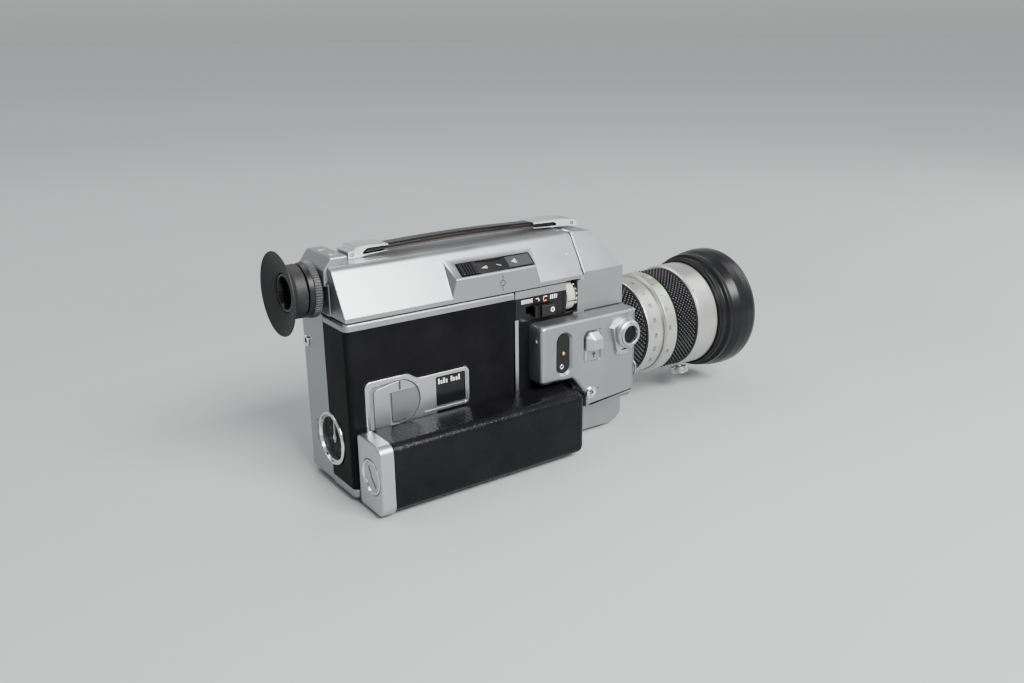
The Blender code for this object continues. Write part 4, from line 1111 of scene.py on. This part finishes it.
def strap_band(x0, x1, low, high, half, rim):
    """One layer of the strap, between two heights above the chord of its bow."""
    count = 28
    xs = [x0 + (x1 - x0) * i / count for i in range(count + 1)]
    under = [(x, low + strap_line(x, x0, x1)) for x in xs]
    over = [(x, high + strap_line(x, x0, x1)) for x in reversed(xs)]
    return prism([*under, *over], "XZ", -half, half, rim, rim, 4)


def handle():
    x0, x1 = extent("handle_strap", 0)
    lining = strap_band(x0, x1, 115.7, 116.5, 4.9, 0.3)
    piece("strap_lining", lining, ink("strap_lining", (0.035, 0.018, 0.011), 0.6))
    band = strap_band(x0, x1, 116.45, 118.0, 5.0, 0.5)
    welt = strap_band(x0 + 0.6, x1 - 0.6, 117.9, 118.6, 3.1, 0.3)
    piece("strap_leather", together(band, welt), STRAP_LEATHER, stands_for="handle_strap")
    rear_end = prism([(24.5, 115.9), (36.0, 116.5), (36.0, 118.2), (25.5, 118.0)], "XZ", -5.0, 5.0)
    front_end = prism([(122.0, 116.5), (136.0, 115.8), (134.8, 117.3), (122.0, 118.05)], "XZ", -5.0, 5.0)
    piece("strap_ends", together(edged(rear_end, 0.4), edged(front_end, 0.4)), STRAP_LEATHER)
    half = 6.5
    rear = prism(fillet([
        (14.5, 114.3), (20.5, 114.3), (24, 115.1, 3), (35.6, 115.9), (35.6, 119.1), (26, 119.75, 6),
        (18.6, 119.4, 1.0), (17.9, 118.0), (14.5, 117.6),
    ]), "XZ", -half, half)
    rear_eye = prism(rectangle((15.6, 115.2), (17.3, 116.9)), "XZ", -9, 9)
    rear_gap = prism(fillet([(20.6, 115.5, 0.7), (40, 116.3), (40, 118.5), (24.5, 118.4, 2.0)]), "XZ", -9, 9)
    rear = edged(carved(rear, rear_eye, rear_gap), 0.35, 3, 25)
    piece("rear_strap_loop", rear, CHROME, stands_for="rear_strap_bracket", angle=25)
    front = prism(fillet([
        (122.5, 115.8), (137, 114.8, 4), (152, 113.9), (152, 115.0), (151.0, 117.4, 0.6),
        (144.5, 118.4, 1.5), (132, 119.0, 6), (122.5, 118.95),
    ]), "XZ", -half, half)
    front_eye = prism(rectangle((147.4, 115.0), (149.4, 116.7)), "XZ", -9, 9)
    front_gap = prism(fillet([(118, 116.3), (139.5, 115.5, 0.7), (136.5, 117.6, 2.0), (118, 118.2)]), "XZ", -9, 9)
    front = edged(carved(front, front_eye, front_gap), 0.35, 3, 25)
    piece("front_strap_loop", front, CHROME, stands_for="front_strap_bracket", angle=25)
    pins = [rod(-6.2, 6.2, 0.7, (x, 0, z), "+Y", 24) for x, z in ((16.45, 116.05), (148.4, 115.85))]
    piece("strap_pins", together(*pins), STEEL)


# ---------------------------------------------------------------- lens


def scale_marks(name, entries, x, radius, size, material, body, centre=(0.0, None), bold=0.02):
    """Numbers round a ring, each given with its angle in degrees."""
    shapes = [round_ring(digits(text, size, bold=bold), x, radius, angle, centre) for text, angle in entries]
    piece(name, together(*shapes), material, body)


def grip_band(name, node_name, body, rows, columns):
    """A knurled rubber ring between two smooth edges."""
    x0, x1, r = ring_size(node_name)
    depth, edge = 1.0, 0.7
    band = knurled(x0 + edge, x1 - edge, r - depth, depth, RING_BORE, rows, columns)
    ends = []
    for a in (x0, x1 - edge):
        profile = [(a, RING_BORE), (a, r - 0.3, 0.2), (a + edge, r - 0.3, 0.15), (a + edge, RING_BORE)]
        ends.append(lathe(profile, (0, 0, LENS_Z)))
    ring = piece(name, together(band, *ends), KNURL, body, node_name, angle=18)
    # Slot 1 for the diamond tops: painted highlight.
    ring.data.materials.append(KNURL_PAINTED_HIGHLIGHT)


def lens_rings():
    centre = (0, 0, LENS_Z)
    barrel = tube(158, 228, 21.4, 24.0, centre)
    piece("lens_tube", barrel, FLOCK, stands_for="lens_barrel")
    grip_band("zoom_grip", "zoom_grip_ring", "zoom_ring", 12, 66)
    grip_band("focus_grip", "focus_grip_ring", "focus_ring", 12, 74)
    x0, x1, r = ring_size("zoom_scale_ring")
    band = lathe([
        (x0, RING_BORE), (x0, r - 0.3, 0.1), (x0 + 0.5, r, 0.2), (x1 - 1.1, r, 0.1), (x1 - 1.0, r - 0.4),
        (x1 - 0.5, r - 0.4), (x1 - 0.4, r - 0.1, 0.1), (x1, r - 0.3, 0.1), (x1, RING_BORE),
    ], centre)
    # Painted shade: a black fill in the groove near the ring's front edge stands in for the shade in it.
    groove = tube(x1 - 0.98, x1 - 0.52, RING_BORE + 1, r - 0.3, centre)
    piece("zoom_groove_painted_shade", groove, BLACK_INK, "zoom_ring")
    piece("zoom_scale_band", band, SCALE, "zoom_ring", "zoom_scale_ring")
    focal = [
        ("7.5", 62), ("8", 84), ("10", 104), ("15", 124), ("20", 142), ("30", 160), ("40", 178), ("50", 195),
        ("60", 212),
    ]
    scale_marks("zoom_numbers", focal, x0 + 5.4, r, 3.0, BLACK_INK, "zoom_ring")
    x0, x1, r = ring_size("focus_scale_ring")
    band = lathe([
        (x0, RING_BORE), (x0, r - 1.3, 0.1), (x0 + 0.9, r, 0.3), (x1, r, 0.15), (x1, RING_BORE),
    ], centre)
    piece("focus_scale_band", band, SCALE, "focus_ring", "focus_scale_ring")
    metres = [("1.5", 60), ("2", 80), ("3", 100), ("5", 118), ("7", 134), ("10", 150), ("20", 172), ("40", 200)]
    feet = [("5", 62), ("7", 83), ("10", 104), ("15", 122), ("25", 138), ("35", 154), ("60", 176)]
    scale_marks("metre_numbers", metres, x0 + 2.8, r, 2.6, BLACK_INK, "focus_ring")
    scale_marks("foot_numbers", feet, x0 + 6.3, r, 3.4, GREEN_INK, "focus_ring", bold=0.06)
    x0, x1, r = ring_size("front_ring")
    band = lathe([
        (x0, 27.2), (x0, r - 0.9, 0.1), (x0 + 0.9, r - 0.1, 0.3), (x0 + 3, r, 0.1), (x1 - 0.4, r, 0.2),
        (x1, r - 0.4), (x1, 27.2), (x1 - 1, 26.9), (x0 + 1, 26.9),
    ], centre)
    piece("front_band", band, SCALE, "focus_ring", "front_ring")
    dot = round_ring(prism(arc((0, 0), 0.55, 0, 360, 20)[:-1], "XY", 0, 0.08), x0 + 1.6, r, 138)
    piece("focus_index", dot, BLACK_INK, "focus_ring")


def lens_front():
    centre = (0, 0, LENS_Z)
    x0, x1, _ = ring_size("lens_hood")
    baffles = []
    for i in range(9):
        x, r = x1 - 2.6 - i * 2.4, 34.0 - i * 0.5
        baffles += [(x, r), (x - 1.5, r), (x - 1.9, r - 0.9)]
    hood = lathe([
        (x0, 28.6), (x0, 32.9, 0.3), (x0 + 1.4, 33.0, 0.2), (x0 + 1.9, 33.8, 0.4), (x0 + 3.0, 33.8, 0.4),
        (x0 + 3.5, 33.0, 0.3), (x0 + 5.6, 33.3, 0.5), (x0 + 6.7, 35.3, 0.6), (x0 + 8.9, 35.6, 0.6),
        (x0 + 9.8, 34.9, 0.3), (x0 + 11.0, 35.6, 0.8), (x0 + 15, 36.9, 6), (x1 - 7.5, 37.38, 4),
        (x1 - 3.0, 37.2, 2), (x1, 36.2, 0.9), (x1, 35.0, 0.4), *baffles,
    ], centre)
    piece("hood_shell", hood, HOOD_BLACK, "focus_ring", "lens_hood", angle=28)
    glass_x = extent("front_lens", 0)[0]
    dome = [(glass_x + 2.2 + 6.0 * (1 - (r / 26.7) ** 2), r) for r in range(24, 0, -3)]
    front = lathe([
        (glass_x + 1.6, 0), (glass_x + 0.9, 14), (glass_x, 26.7), (glass_x + 2.2, 26.7), *dome, (glass_x + 8.2, 0),
    ], centre, sides=96)
    piece("front_glass", front, LENS_GLASS, "focus_ring", "front_lens", angle=20)
    keeper = lathe([
        (glass_x + 2.4, 25.4), (glass_x + 3.4, 26.9), (x0 - 1.5, 26.9), (x0 - 1.5, 26.2, 0.3),
        (glass_x + 4.6, 25.2, 0.2),
    ], centre)
    piece("lens_keeper", keeper, PLASTIC, "focus_ring")
    rings = []
    for x, inner in ((226, 17.6), (219, 15.8), (212, 14.2), (205, 10.0)):
        rings.append(lathe([(x, inner), (x, 21.2), (x + 1.6, 21.2), (x + 1.6, inner + 1.0)], centre))
    piece("barrel_baffles", together(*rings), PLASTIC)
    second = lathe([(209, 0), (210, 12), (210, 14.1), (212, 14.1), (214.2, 9), (215.2, 0)], centre, sides=64)
    piece("second_glass", second, LENS_GLASS)
    piece("barrel_end", rod(196, 197, 21.2, centre, sides=64), FLOCK)
    turn = math.radians(165)
    knob = lathe([
        (31.5, 0), (31.5, 2.2), (32.8, 2.2), (33.2, 5.3, 0.3), (36.6, 5.3, 0.5), (37.1, 4.7, 0.3), (36.7, 3.6, 0.3),
        (36.7, 0),
    ], (middle("focus_knob", 0), 0, LENS_Z), (0, -math.sin(turn), math.cos(turn)), flutes=(36, 0.35, 4.9))
    piece("focus_knob_turned", knob, STEEL, "focus_ring", "focus_knob", angle=20)


# ---------------------------------------------------------------- control housing


def side_outline():
    x0, x1 = SIDE_X
    top = extent("side_housing", 2)[1]
    return fillet([
        (x0, 40, 2.4), (124.5, 40, 2.5), (133.3, 29.6, 4.0), (133.5, 20.9, 1.0), (165.3, 20.9, 1.2), (x1, 24.2, 1.2),
        (x1, top, 1.6), (x0, top, 3.0),
    ], 6)


def flared(outline, outer, inner, depth, grow):
    """A cutter through an upright face at SIDE_Y, whose mouth is a chamfer."""
    shape = bmesh.new()
    loops = []
    for y, distance in ((outer, -grow), (SIDE_Y, -grow), (SIDE_Y + depth, 0), (inner, 0)):
        loops.append([shape.verts.new((a, y, b)) for a, b in inset(outline, distance)])
    for first, second in zip(loops, loops[1:]):
        strip(shape, first, second)
    shape.faces.new(loops[0])
    shape.faces.new(loops[-1])
    bmesh.ops.recalc_face_normals(shape, faces=shape.faces)
    return shape


def side_housing():
    housing = prism(side_outline(), "XZ", SIDE_Y, -28.5, 2.2, 0, 7)
    radius = 4.3
    contact = rectangle((113.8, 44.0), (122.5, 65.9), radius, 10)
    recess = rectangle((131.2, 47.3), (143.0, 64.5), 1.0)
    x, z = DIAL_AT
    sx, sz = SOCKET_AT
    trigger_y, trigger_z = middle("shutter_trigger", 1), middle("shutter_trigger", 2)
    housing = carved(
        housing,
        flared(contact, -50, -36.4, 1.2, 1.05),
        flared(recess, -50, SIDE_Y + 0.6, 0.25, 0.2),
        block((134.9, -50, 53.8), (139.3, -36, 62.2)),
        rod(0, 25, 2.6, (x, -50, z), "+Y", 48),
        rod(0, 14, 2.2, (sx, -50, sz), "+Y", 48),
        rod(0, 20, 4.5, (160, trigger_y, trigger_z), "+X", 64),
    )
    piece("side_housing_shell", housing, SILVER, stands_for="side_housing", angle=25)
    tile_y = -39.15
    tile = prism(rectangle((134.1, 47.9), (142.2, 53.7), 0.7), "XZ", tile_y, -38.4, 0.2, 0, 3)
    piece("run_switch_tile", tile, SILVER)
    arrow_head = prism([(-1.5, 0.2), (1.5, 0.2), (0, 2.0)], "XY", 0, 0.06)
    arrow = wall(together(arrow_head, bar(-0.4, -1.4, 0.4, 0.3)), 138.1, 50.6, tile_y)
    piece("run_switch_arrow", arrow, BLACK_INK)
    floor_y = -37.8
    contact_pin = lathe([(0, 0), (0, 1.0), (0.9, 1.0, 0.3), (1.2, 0)], (118.1, floor_y, 55.2), "-Y", 32)
    piece("contact_pin", contact_pin, BRASS)
    bush = lathe([(0, 0.7), (0, 1.3), (0.8, 1.3, 0.2), (0.8, 0.7, 0.2)], (117.0, floor_y, 48.0), "-Y", 32)
    piece("contact_socket", bush, CHROME)
    plate_outline = rectangle((114.2, 44.4), (122.1, 65.5), radius - 0.4, 10)
    piece("contact_floor", prism(plate_outline, "XZ", floor_y, -36.5), GLOSS)
    dots = [lathe([(-0.5, 0), (-0.5, r), (0.2, r, 0.15), (0.5, 0)], place, axis, 24) for place, axis, r in (
        ((165.2, SIDE_Y, 50.3), "-Y", 0.9), ((SIDE_X[0], -34.2, 63.5), "-X", 1.35))]
    piece("housing_pins", together(*dots), CHROME)
    dash = moved(bar(-1.2, -0.2, 1.2, 0.2), Matrix.Translation((19.4, 38.3, 0)))
    marks = together(bar(-0.25, -0.9, 0.25, 0.9), dash)
    piece("housing_marks", wall(marks, 141.6, 31.0, SIDE_Y), BLACK_INK)


def run_switch():
    """A knob with a broad slanted flank at the rear, whose skirt runs down beside the arrow tile."""
    x0, x1, z0, z1 = 131.8, 142.4, 54.0, 64.1
    out, foot = -43.2, -39.3
    knob = hull([
        (x0, foot, z0), (x1, foot, z0), (x0, foot, z1 - 3.0), (x1, foot, z1 - 3.0),
        (x0 + 2.4, foot, z1), (x1 - 2.4, foot, z1),
        (x0 + 0.3, foot - 1.1, z0), (x0 + 0.3, foot - 1.1, z1 - 3.2),
        (x1, foot - 1.8, z0 + 0.1), (x1, foot - 1.8, z1 - 3.4),
        (x0 + 4.0, out, z0 + 0.5), (x1 - 0.9, out, z0 + 0.5), (x0 + 4.2, out, z1 - 4.2), (x1 - 1.0, out, z1 - 4.2),
        (x0 + 2.6, foot - 1.2, z1 - 0.2), (x1 - 2.6, foot - 1.5, z1 - 0.2),
    ])
    stem = block((135.4, -40.5, 60.0), (138.8, -37, 61.9))
    body = united(edged(knob, 0.4, 3, 10), stem)
    piece("run_switch_knob", body, BRUSHED_END, "run_slide", "run_switch", angle=25)
    skirt_outline = fillet([(131.9, 47.8, 0.8), (134.0, 47.8), (134.0, 53.9), (131.9, 53.9)])
    skirt = prism(skirt_outline, "XZ", -39.2, -38.4, 0.3, 0, 3)
    piece("run_switch_skirt", skirt, BRUSHED_END)


def mode_dial():
    x, z = DIAL_AT
    r = 8.5
    left = x - r - 0.9
    base_outline = fillet([(left, 47.9, 0.8), (x - 3.6, 47.9, 0.6), (x - 2.0, 51.4, 1.0)])
    base_outline += [*arc((x, z), r, -62, 130, 40), (left, z + 4.0)]
    base = prism(base_outline, "XZ", -40.9, SIDE_Y - 0.05, 0.45, 0, 3)
    lug = block((x - 4.6, -41.4, 47.4), (x + 1.2, -39.0, 50.2), 0.6)
    piece("dial_base", together(base, lug), BRUSHED_END, stands_for="mode_dial_base")
    centre = (x, -40.6, z)
    knob = lathe([
        (0.3, 2.3), (0.3, 7.9, 0.3), (2.2, 7.9, 0.5), (3.0, 7.4, 0.5), (3.6, 6.6, 0.5), (4.4, 6.3, 0.3),
        (4.4, 5.0, 0.4), (2.2, 4.5), (2.0, 2.3),
    ], centre, "-Y")
    piece("dial_knob", knob, BRUSHED_END, "mode_selector", "mode_dial")
    cap = lathe([(1.6, 0), (1.6, 4.7), (2.9, 4.75, 0.2), (2.4, 3.0, 2.0), (2.2, 0)], centre, "-Y", 96)
    piece("dial_cap", cap, GRIP_LEATHER, "mode_selector")
    piece("dial_stem", rod(-4.5, 1.8, 2.2, centre, "-Y", 32), STEEL, "mode_selector")
    marks = [on_dial(digits(text, 1.3, 0.25), 7.15, angle) for text, angle in (("1", 52), ("2", 16), ("3", -20))]
    piece("dial_numbers", wall(together(*marks), x, z, -43.55), BLACK_INK, "mode_selector")


def small_controls():
    x, z = SOCKET_AT
    socket = lathe([
        (0, 1.1), (0, 2.1), (2.7, 2.1), (2.7, 3.3, 0.2), (3.6, 3.3, 0.3), (4.0, 2.6, 0.2), (3.4, 1.3, 0.2),
    ], (x, SIDE_Y + 3.0, z), "-Y", 64)
    piece("release_bush", socket, CHROME, stands_for="release_socket")
    y, z = middle("shutter_trigger", 1), middle("shutter_trigger", 2)
    start = extent("shutter_trigger", 0)[0]
    trigger = lathe([(0, 0), (0, 4.2), (6.6, 4.2, 0.7), (7.5, 3.2, 0.6), (6.9, 0)], (start, y, z), "+X", 96)
    piece("trigger_button_turned", trigger, CHROME, "trigger_button", "shutter_trigger")
    collar = lathe([(168.2, 4.6), (168.2, 5.9), (169.1, 5.7, 0.3), (169.1, 4.7, 0.2)], (0, y, z), "+X", 96)
    piece("trigger_collar", collar, STEEL)


def exposure_controls():
    x0, x1 = extent("exposure_lever", 0)
    z0, z1 = extent("exposure_lever", 2)
    face = extent("exposure_lever", 1)[0]
    x1, z1 = x1 - 1.2, z1 - 2.4
    body = prism(rectangle((x0, z0), (x1, z1), 0.8), "XZ", face, -28.6, 0.7, 0.2, 4)
    step = block((x0 - 1, -40, z0 - 1), (x0 + 3.4, face + 1.3, z1 + 1))
    ribs = [block((u, -40, z0 - 1), (u + 0.35, face + 1.55, z1 + 1)) for u in (x0 + 0.8, x0 + 1.7, x0 + 2.6)]
    stem = block((111.6, -30, 76.8), (115.6, -26.2, 79.8))
    body = united(carved(body, step, *ribs), stem)
    piece("exposure_lever_block", body, PLASTIC, "exposure_slide", "exposure_lever")
    dot = tube(0, 0.08, 0.7, 1.25, (115.7, face, 78.3), "-Y", 40)
    piece("exposure_lever_mark", dot, WHITE_INK, "exposure_slide")
    panel_y = extent("exposure_panel", 1)[0]
    bars = [bar(u, 0, u + 0.62, 2.1) for u in (0, 1.25, 2.5, 3.75, 5.0, 6.25, 18.4, 19.65, 20.9, 22.15)]
    hooks = [
        bar(9.2, 1.4, 11.2, 1.8), bar(10.8, 0.1, 11.2, 1.8), bar(13.8, 1.7, 16.2, 2.1), bar(13.8, 0.3, 14.2, 2.1),
    ]
    piece("exposure_marks", wall(together(*bars, *hooks), 98.7, 82.7, panel_y), WHITE_INK)
    piece("exposure_stop_mark", wall(bar(14.0, -0.7, 16.1, 0.05), 98.7, 82.7, panel_y), ORANGE_INK)


def aperture_drum():
    x0, x1 = extent("aperture_drum", 0)
    y, z = DRUM_AT
    r = 8.1
    centre = (0, y, z)
    drum = lathe([
        (x0, 2.0), (x0, r - 0.4, 0.2), (x0 + 0.5, r, 0.2), (x0 + 4.9, r, 0.1), (x0 + 4.9, 2.0),
    ], centre, sides=96)
    piece("drum_scale", drum, CREAM, "aperture_wheel", "aperture_drum")
    rim = r - 0.1
    band = lathe([(x0 + 4.95, 2.0), (x0 + 4.95, rim, 0.1), (x1, rim, 0.2), (x1, 2.0)], centre, sides=96)
    piece("drum_band", band, PLASTIC, "aperture_wheel")
    place = (y, z)
    line = round_ring(bar(-0.35, -2.3, 0.35, 2.3), x0 + 2.6, r, 191, place)
    piece("drum_line", line, BLACK_INK, "aperture_wheel")
    orange = round_ring(digits("8", 1.7), x0 + 5.9, rim, 148, place)
    piece("drum_limit", orange, ORANGE_INK, "aperture_wheel")
    stops = [("11", 166), ("16", 184), ("22", 202), ("4", 128), ("2", 110)]
    scale_marks("drum_numbers", stops, x0 + 5.9, rim, 1.5, WHITE_INK, "aperture_wheel", place)


# ---------------------------------------------------------------- rear face


def rear_face():
    y, z = COUNTER_AT
    centre = (0, y, z)
    bezel = lathe([
        (-0.05, 11.25), (-1.2, 11.25), (-0.3, 11.5, 0.2), (-0.4, 11.9, 0.3), (1.1, 12.3, 0.2), (1.2, 12.8, 0.3),
        (0.5, COUNTER_R - 0.3, 0.3), (-0.05, COUNTER_R - 0.2, 0.1),
    ], centre, "-X")
    piece("counter_rim", bezel, CHROME, stands_for="counter_bezel")
    face = rod(2.0, 2.9, 10.7, centre, sides=96)
    piece("counter_face", face, FLOCK, stands_for="counter_dial")
    zero, step = 96, 18
    marks = [on_dial(bar(-0.16, -1.1 if i % 3 else -1.9, 0.16, 0), 9.9, zero + i * step) for i in range(16)]
    for i, text in enumerate(("0", "10", "20", "30", "40", "50")):
        marks.append(on_dial(digits(text, 1.9), 6.7, zero + 3 * i * step, turned=False))
    dial_marks = together(*marks)
    for vertex in dial_marks.verts:
        u, v, w = vertex.co
        vertex.co = Vector((2.0 - w, y - u, z + v))
    piece("counter_numbers", dial_marks, DIM_INK)
    hand = prism(fillet([
        (y - 0.55, z - 2.6, 0.3), (y + 0.55, z - 2.6, 0.3), (y + 0.2, z + 8.4), (y - 0.2, z + 8.4),
    ]), "YZ", 1.15, 1.5)
    hub = lathe([(0.9, 0), (0.9, 1.3, 0.2), (1.6, 1.3), (1.6, 0)], centre, sides=32)
    piece("counter_needle", together(hand, hub), WHITE_INK, "counter_pointer", "counter_hand")
    window = lathe([(-0.3, 0), (-0.2, 6), (0.0, 10.9), (0.4, 10.9), (0.3, 0)], centre, sides=96)
    piece("counter_window", window, COVER_GLASS, stands_for="counter_glass")
    socket = lathe([
        (0, 1.3), (0, 2.4), (4.1, 2.4), (4.1, 3.1, 0.2), (4.9, 3.1, 0.3), (5.1, 2.4, 0.2), (4.6, 1.4, 0.2),
    ], (4.0, *REMOTE_AT), "-X", 64)
    piece("remote_bush", socket, CHROME, stands_for="remote_socket")
    outlines = [
        [(9.6, 30.6), (11.4, 30.6), (10.5, 32.4)],
        rectangle((10.2, 26.2), (10.8, 28.8)),
        rectangle((10.2, 20.4), (10.8, 23.4)),
    ]
    piece("rear_marks", together(*(prism(outline, "YZ", -0.06, 0) for outline in outlines)), BLACK_INK)


# ---------------------------------------------------------------- grip


def grip():
    (x0, x1), (y0, y1), (z0, z1) = (extent("grip_shell", i) for i in range(3))
    outline = fillet([(y0, z0, 4.6), (y1, z0, 1.2), (y1, z1, 1.2), (y0, z1, 4.6)], 8)
    shell = prism(outline, "YZ", x0, x1, 0, 3.4, 7)
    px, pz = middle("grip_pivot_pin", 0), middle("grip_pivot_pin", 2)
    inside = block((x0 - 5, -49.8, 4.9), (114.5, -34.0, 34.4))
    pin_hole = rod(0, 10, 6.2, (px, -33.6, pz), "+Y", 64)
    shell = carved(shell, inside, pin_hole)
    piece("grip_leather_shell", shell, GRIP_LEATHER, "battery_grip", "grip_shell", angle=25)
    (x0, x1), (y0, y1), (z0, z1) = (extent("grip_end_cap", i) for i in range(3))
    y, z = CAP_SCREW_AT
    centre = (0, y, z)
    outline = fillet([(y0, z0, 4.8), (y1, z0, 2.0), (y1, z1, 2.0), (y0, z1, 4.8)], 8)
    cap = prism(outline, "YZ", x0, x1, 0.9, 0.3, 4)
    seat = lathe([
        (x0 - 3, 0), (x0 - 3, 9.3), (x0 - 0.01, 9.3), (x0 + 0.3, 9.0), (x0 + 1.6, 9.0), (x0 + 1.6, 3.3), (20, 3.3),
        (20, 0),
    ], centre)
    piece("grip_cap", carved(cap, seat), BRUSHED_END, "battery_grip", "grip_end_cap")
    screw = lathe([
        (x0 + 5.6, 0), (x0 + 5.6, 3.0), (x0 + 1.3, 3.0), (x0 + 1.3, 7.5), (x0 + 0.8, 7.5, 0.1), (x0 + 0.3, 0),
    ], centre)
    rim = lathe([
        (x0 + 1.3, 7.55), (x0 + 1.3, 8.6), (x0 - 0.05, 8.6, 0.2), (x0 - 0.3, 8.1, 0.2), (x0 + 0.6, 7.55, 0.1),
    ], centre)
    piece("grip_screw_rim", rim, CHROME, "grip_lock_screw")
    slot = block((-3, -0.8, -5.6), (x0 + 1.1, 0.8, 5.6))
    screw = carved(screw, moved(slot, Matrix.Translation(centre) @ Matrix.Rotation(math.radians(-35), 4, "X")))
    piece("grip_coin_screw", screw, BRUSHED_END, "grip_lock_screw", "grip_cap_screw")


# ---------------------------------------------------------------- left side


def left_side():
    x, z = middle("speed_dial", 0), middle("speed_dial", 2)
    base_y = extent("left_cover", 1)[1]
    dial = lathe([
        (0.4, 0), (0.4, 11.0, 0.2), (3.6, 11.0, 0.4), (4.4, 9.8, 0.4), (4.4, 8.6, 0.3), (4.0, 8.2, 0.2), (4.0, 0),
    ], (x, base_y, z), "+Y", flutes=(48, 0.5, 10.4))
    piece("speed_dial_knob", dial, BRUSHED_END, "speed_selector", "speed_dial", angle=20)
    ridge_y = base_y + 6.6
    ridge = prism(rectangle((x - 1.3, z - 8.0), (x + 1.3, z + 8.0), 1.2), "XZ", base_y + 3.8, ridge_y, 0, 0.7, 4)
    piece("speed_dial_ridge", ridge, BRUSHED_END, "speed_selector", angle=25)
    speeds = (("1", 150), ("18", 120), ("24", 90), ("36", 60))
    marks = [on_dial(digits(text, 2.4), 13.6, angle, turned=False) for text, angle in speeds]
    piece("speed_numbers", wall(together(*marks), x, z, base_y, 1), BLACK_INK)
    index = wall(bar(-0.25, 4.0, 0.25, 7.6), x, z, ridge_y, 1)
    piece("speed_index", index, BLACK_INK, "speed_selector")
    bx, bz = middle("battery_check_button", 0), middle("battery_check_button", 2)
    button = lathe([(0, 0), (0, 3.3), (3.6, 3.3, 0.6), (4.3, 2.2, 1.0), (4.4, 0)], (bx, 26.0, bz), "+Y", 64)
    piece("check_button_turned", button, CHROME, "check_button", "battery_check_button")
    collar = lathe([(-0.7, 3.7), (-0.7, 5.4), (1.2, 5.4, 0.3), (1.5, 4.6, 0.3), (1.0, 3.7)], (bx, base_y, bz), "+Y", 96)
    piece("check_button_collar", collar, CHROME)
    spots = ((6.5, 12.0, 20), (146.0, 80.0, 65), (162.0, 12.0, 110))
    screws = [slotted_head((sx, base_y + 0.05, sz), "+Y", 2.1, turn) for sx, sz, turn in spots]
    piece("left_cover_screws", together(*screws), STEEL)


# ---------------------------------------------------------------- all of it

make_camera()
make_studio()
body_castings()
film_door()
door_latch()
top_cover()
zoom_rocker()
rear_block()
front_housing()
finder()
handle()
lens_rings()
lens_front()
side_housing()
run_switch()
mode_dial()
small_controls()
exposure_controls()
aperture_drum()
rear_face()
grip()
left_side()
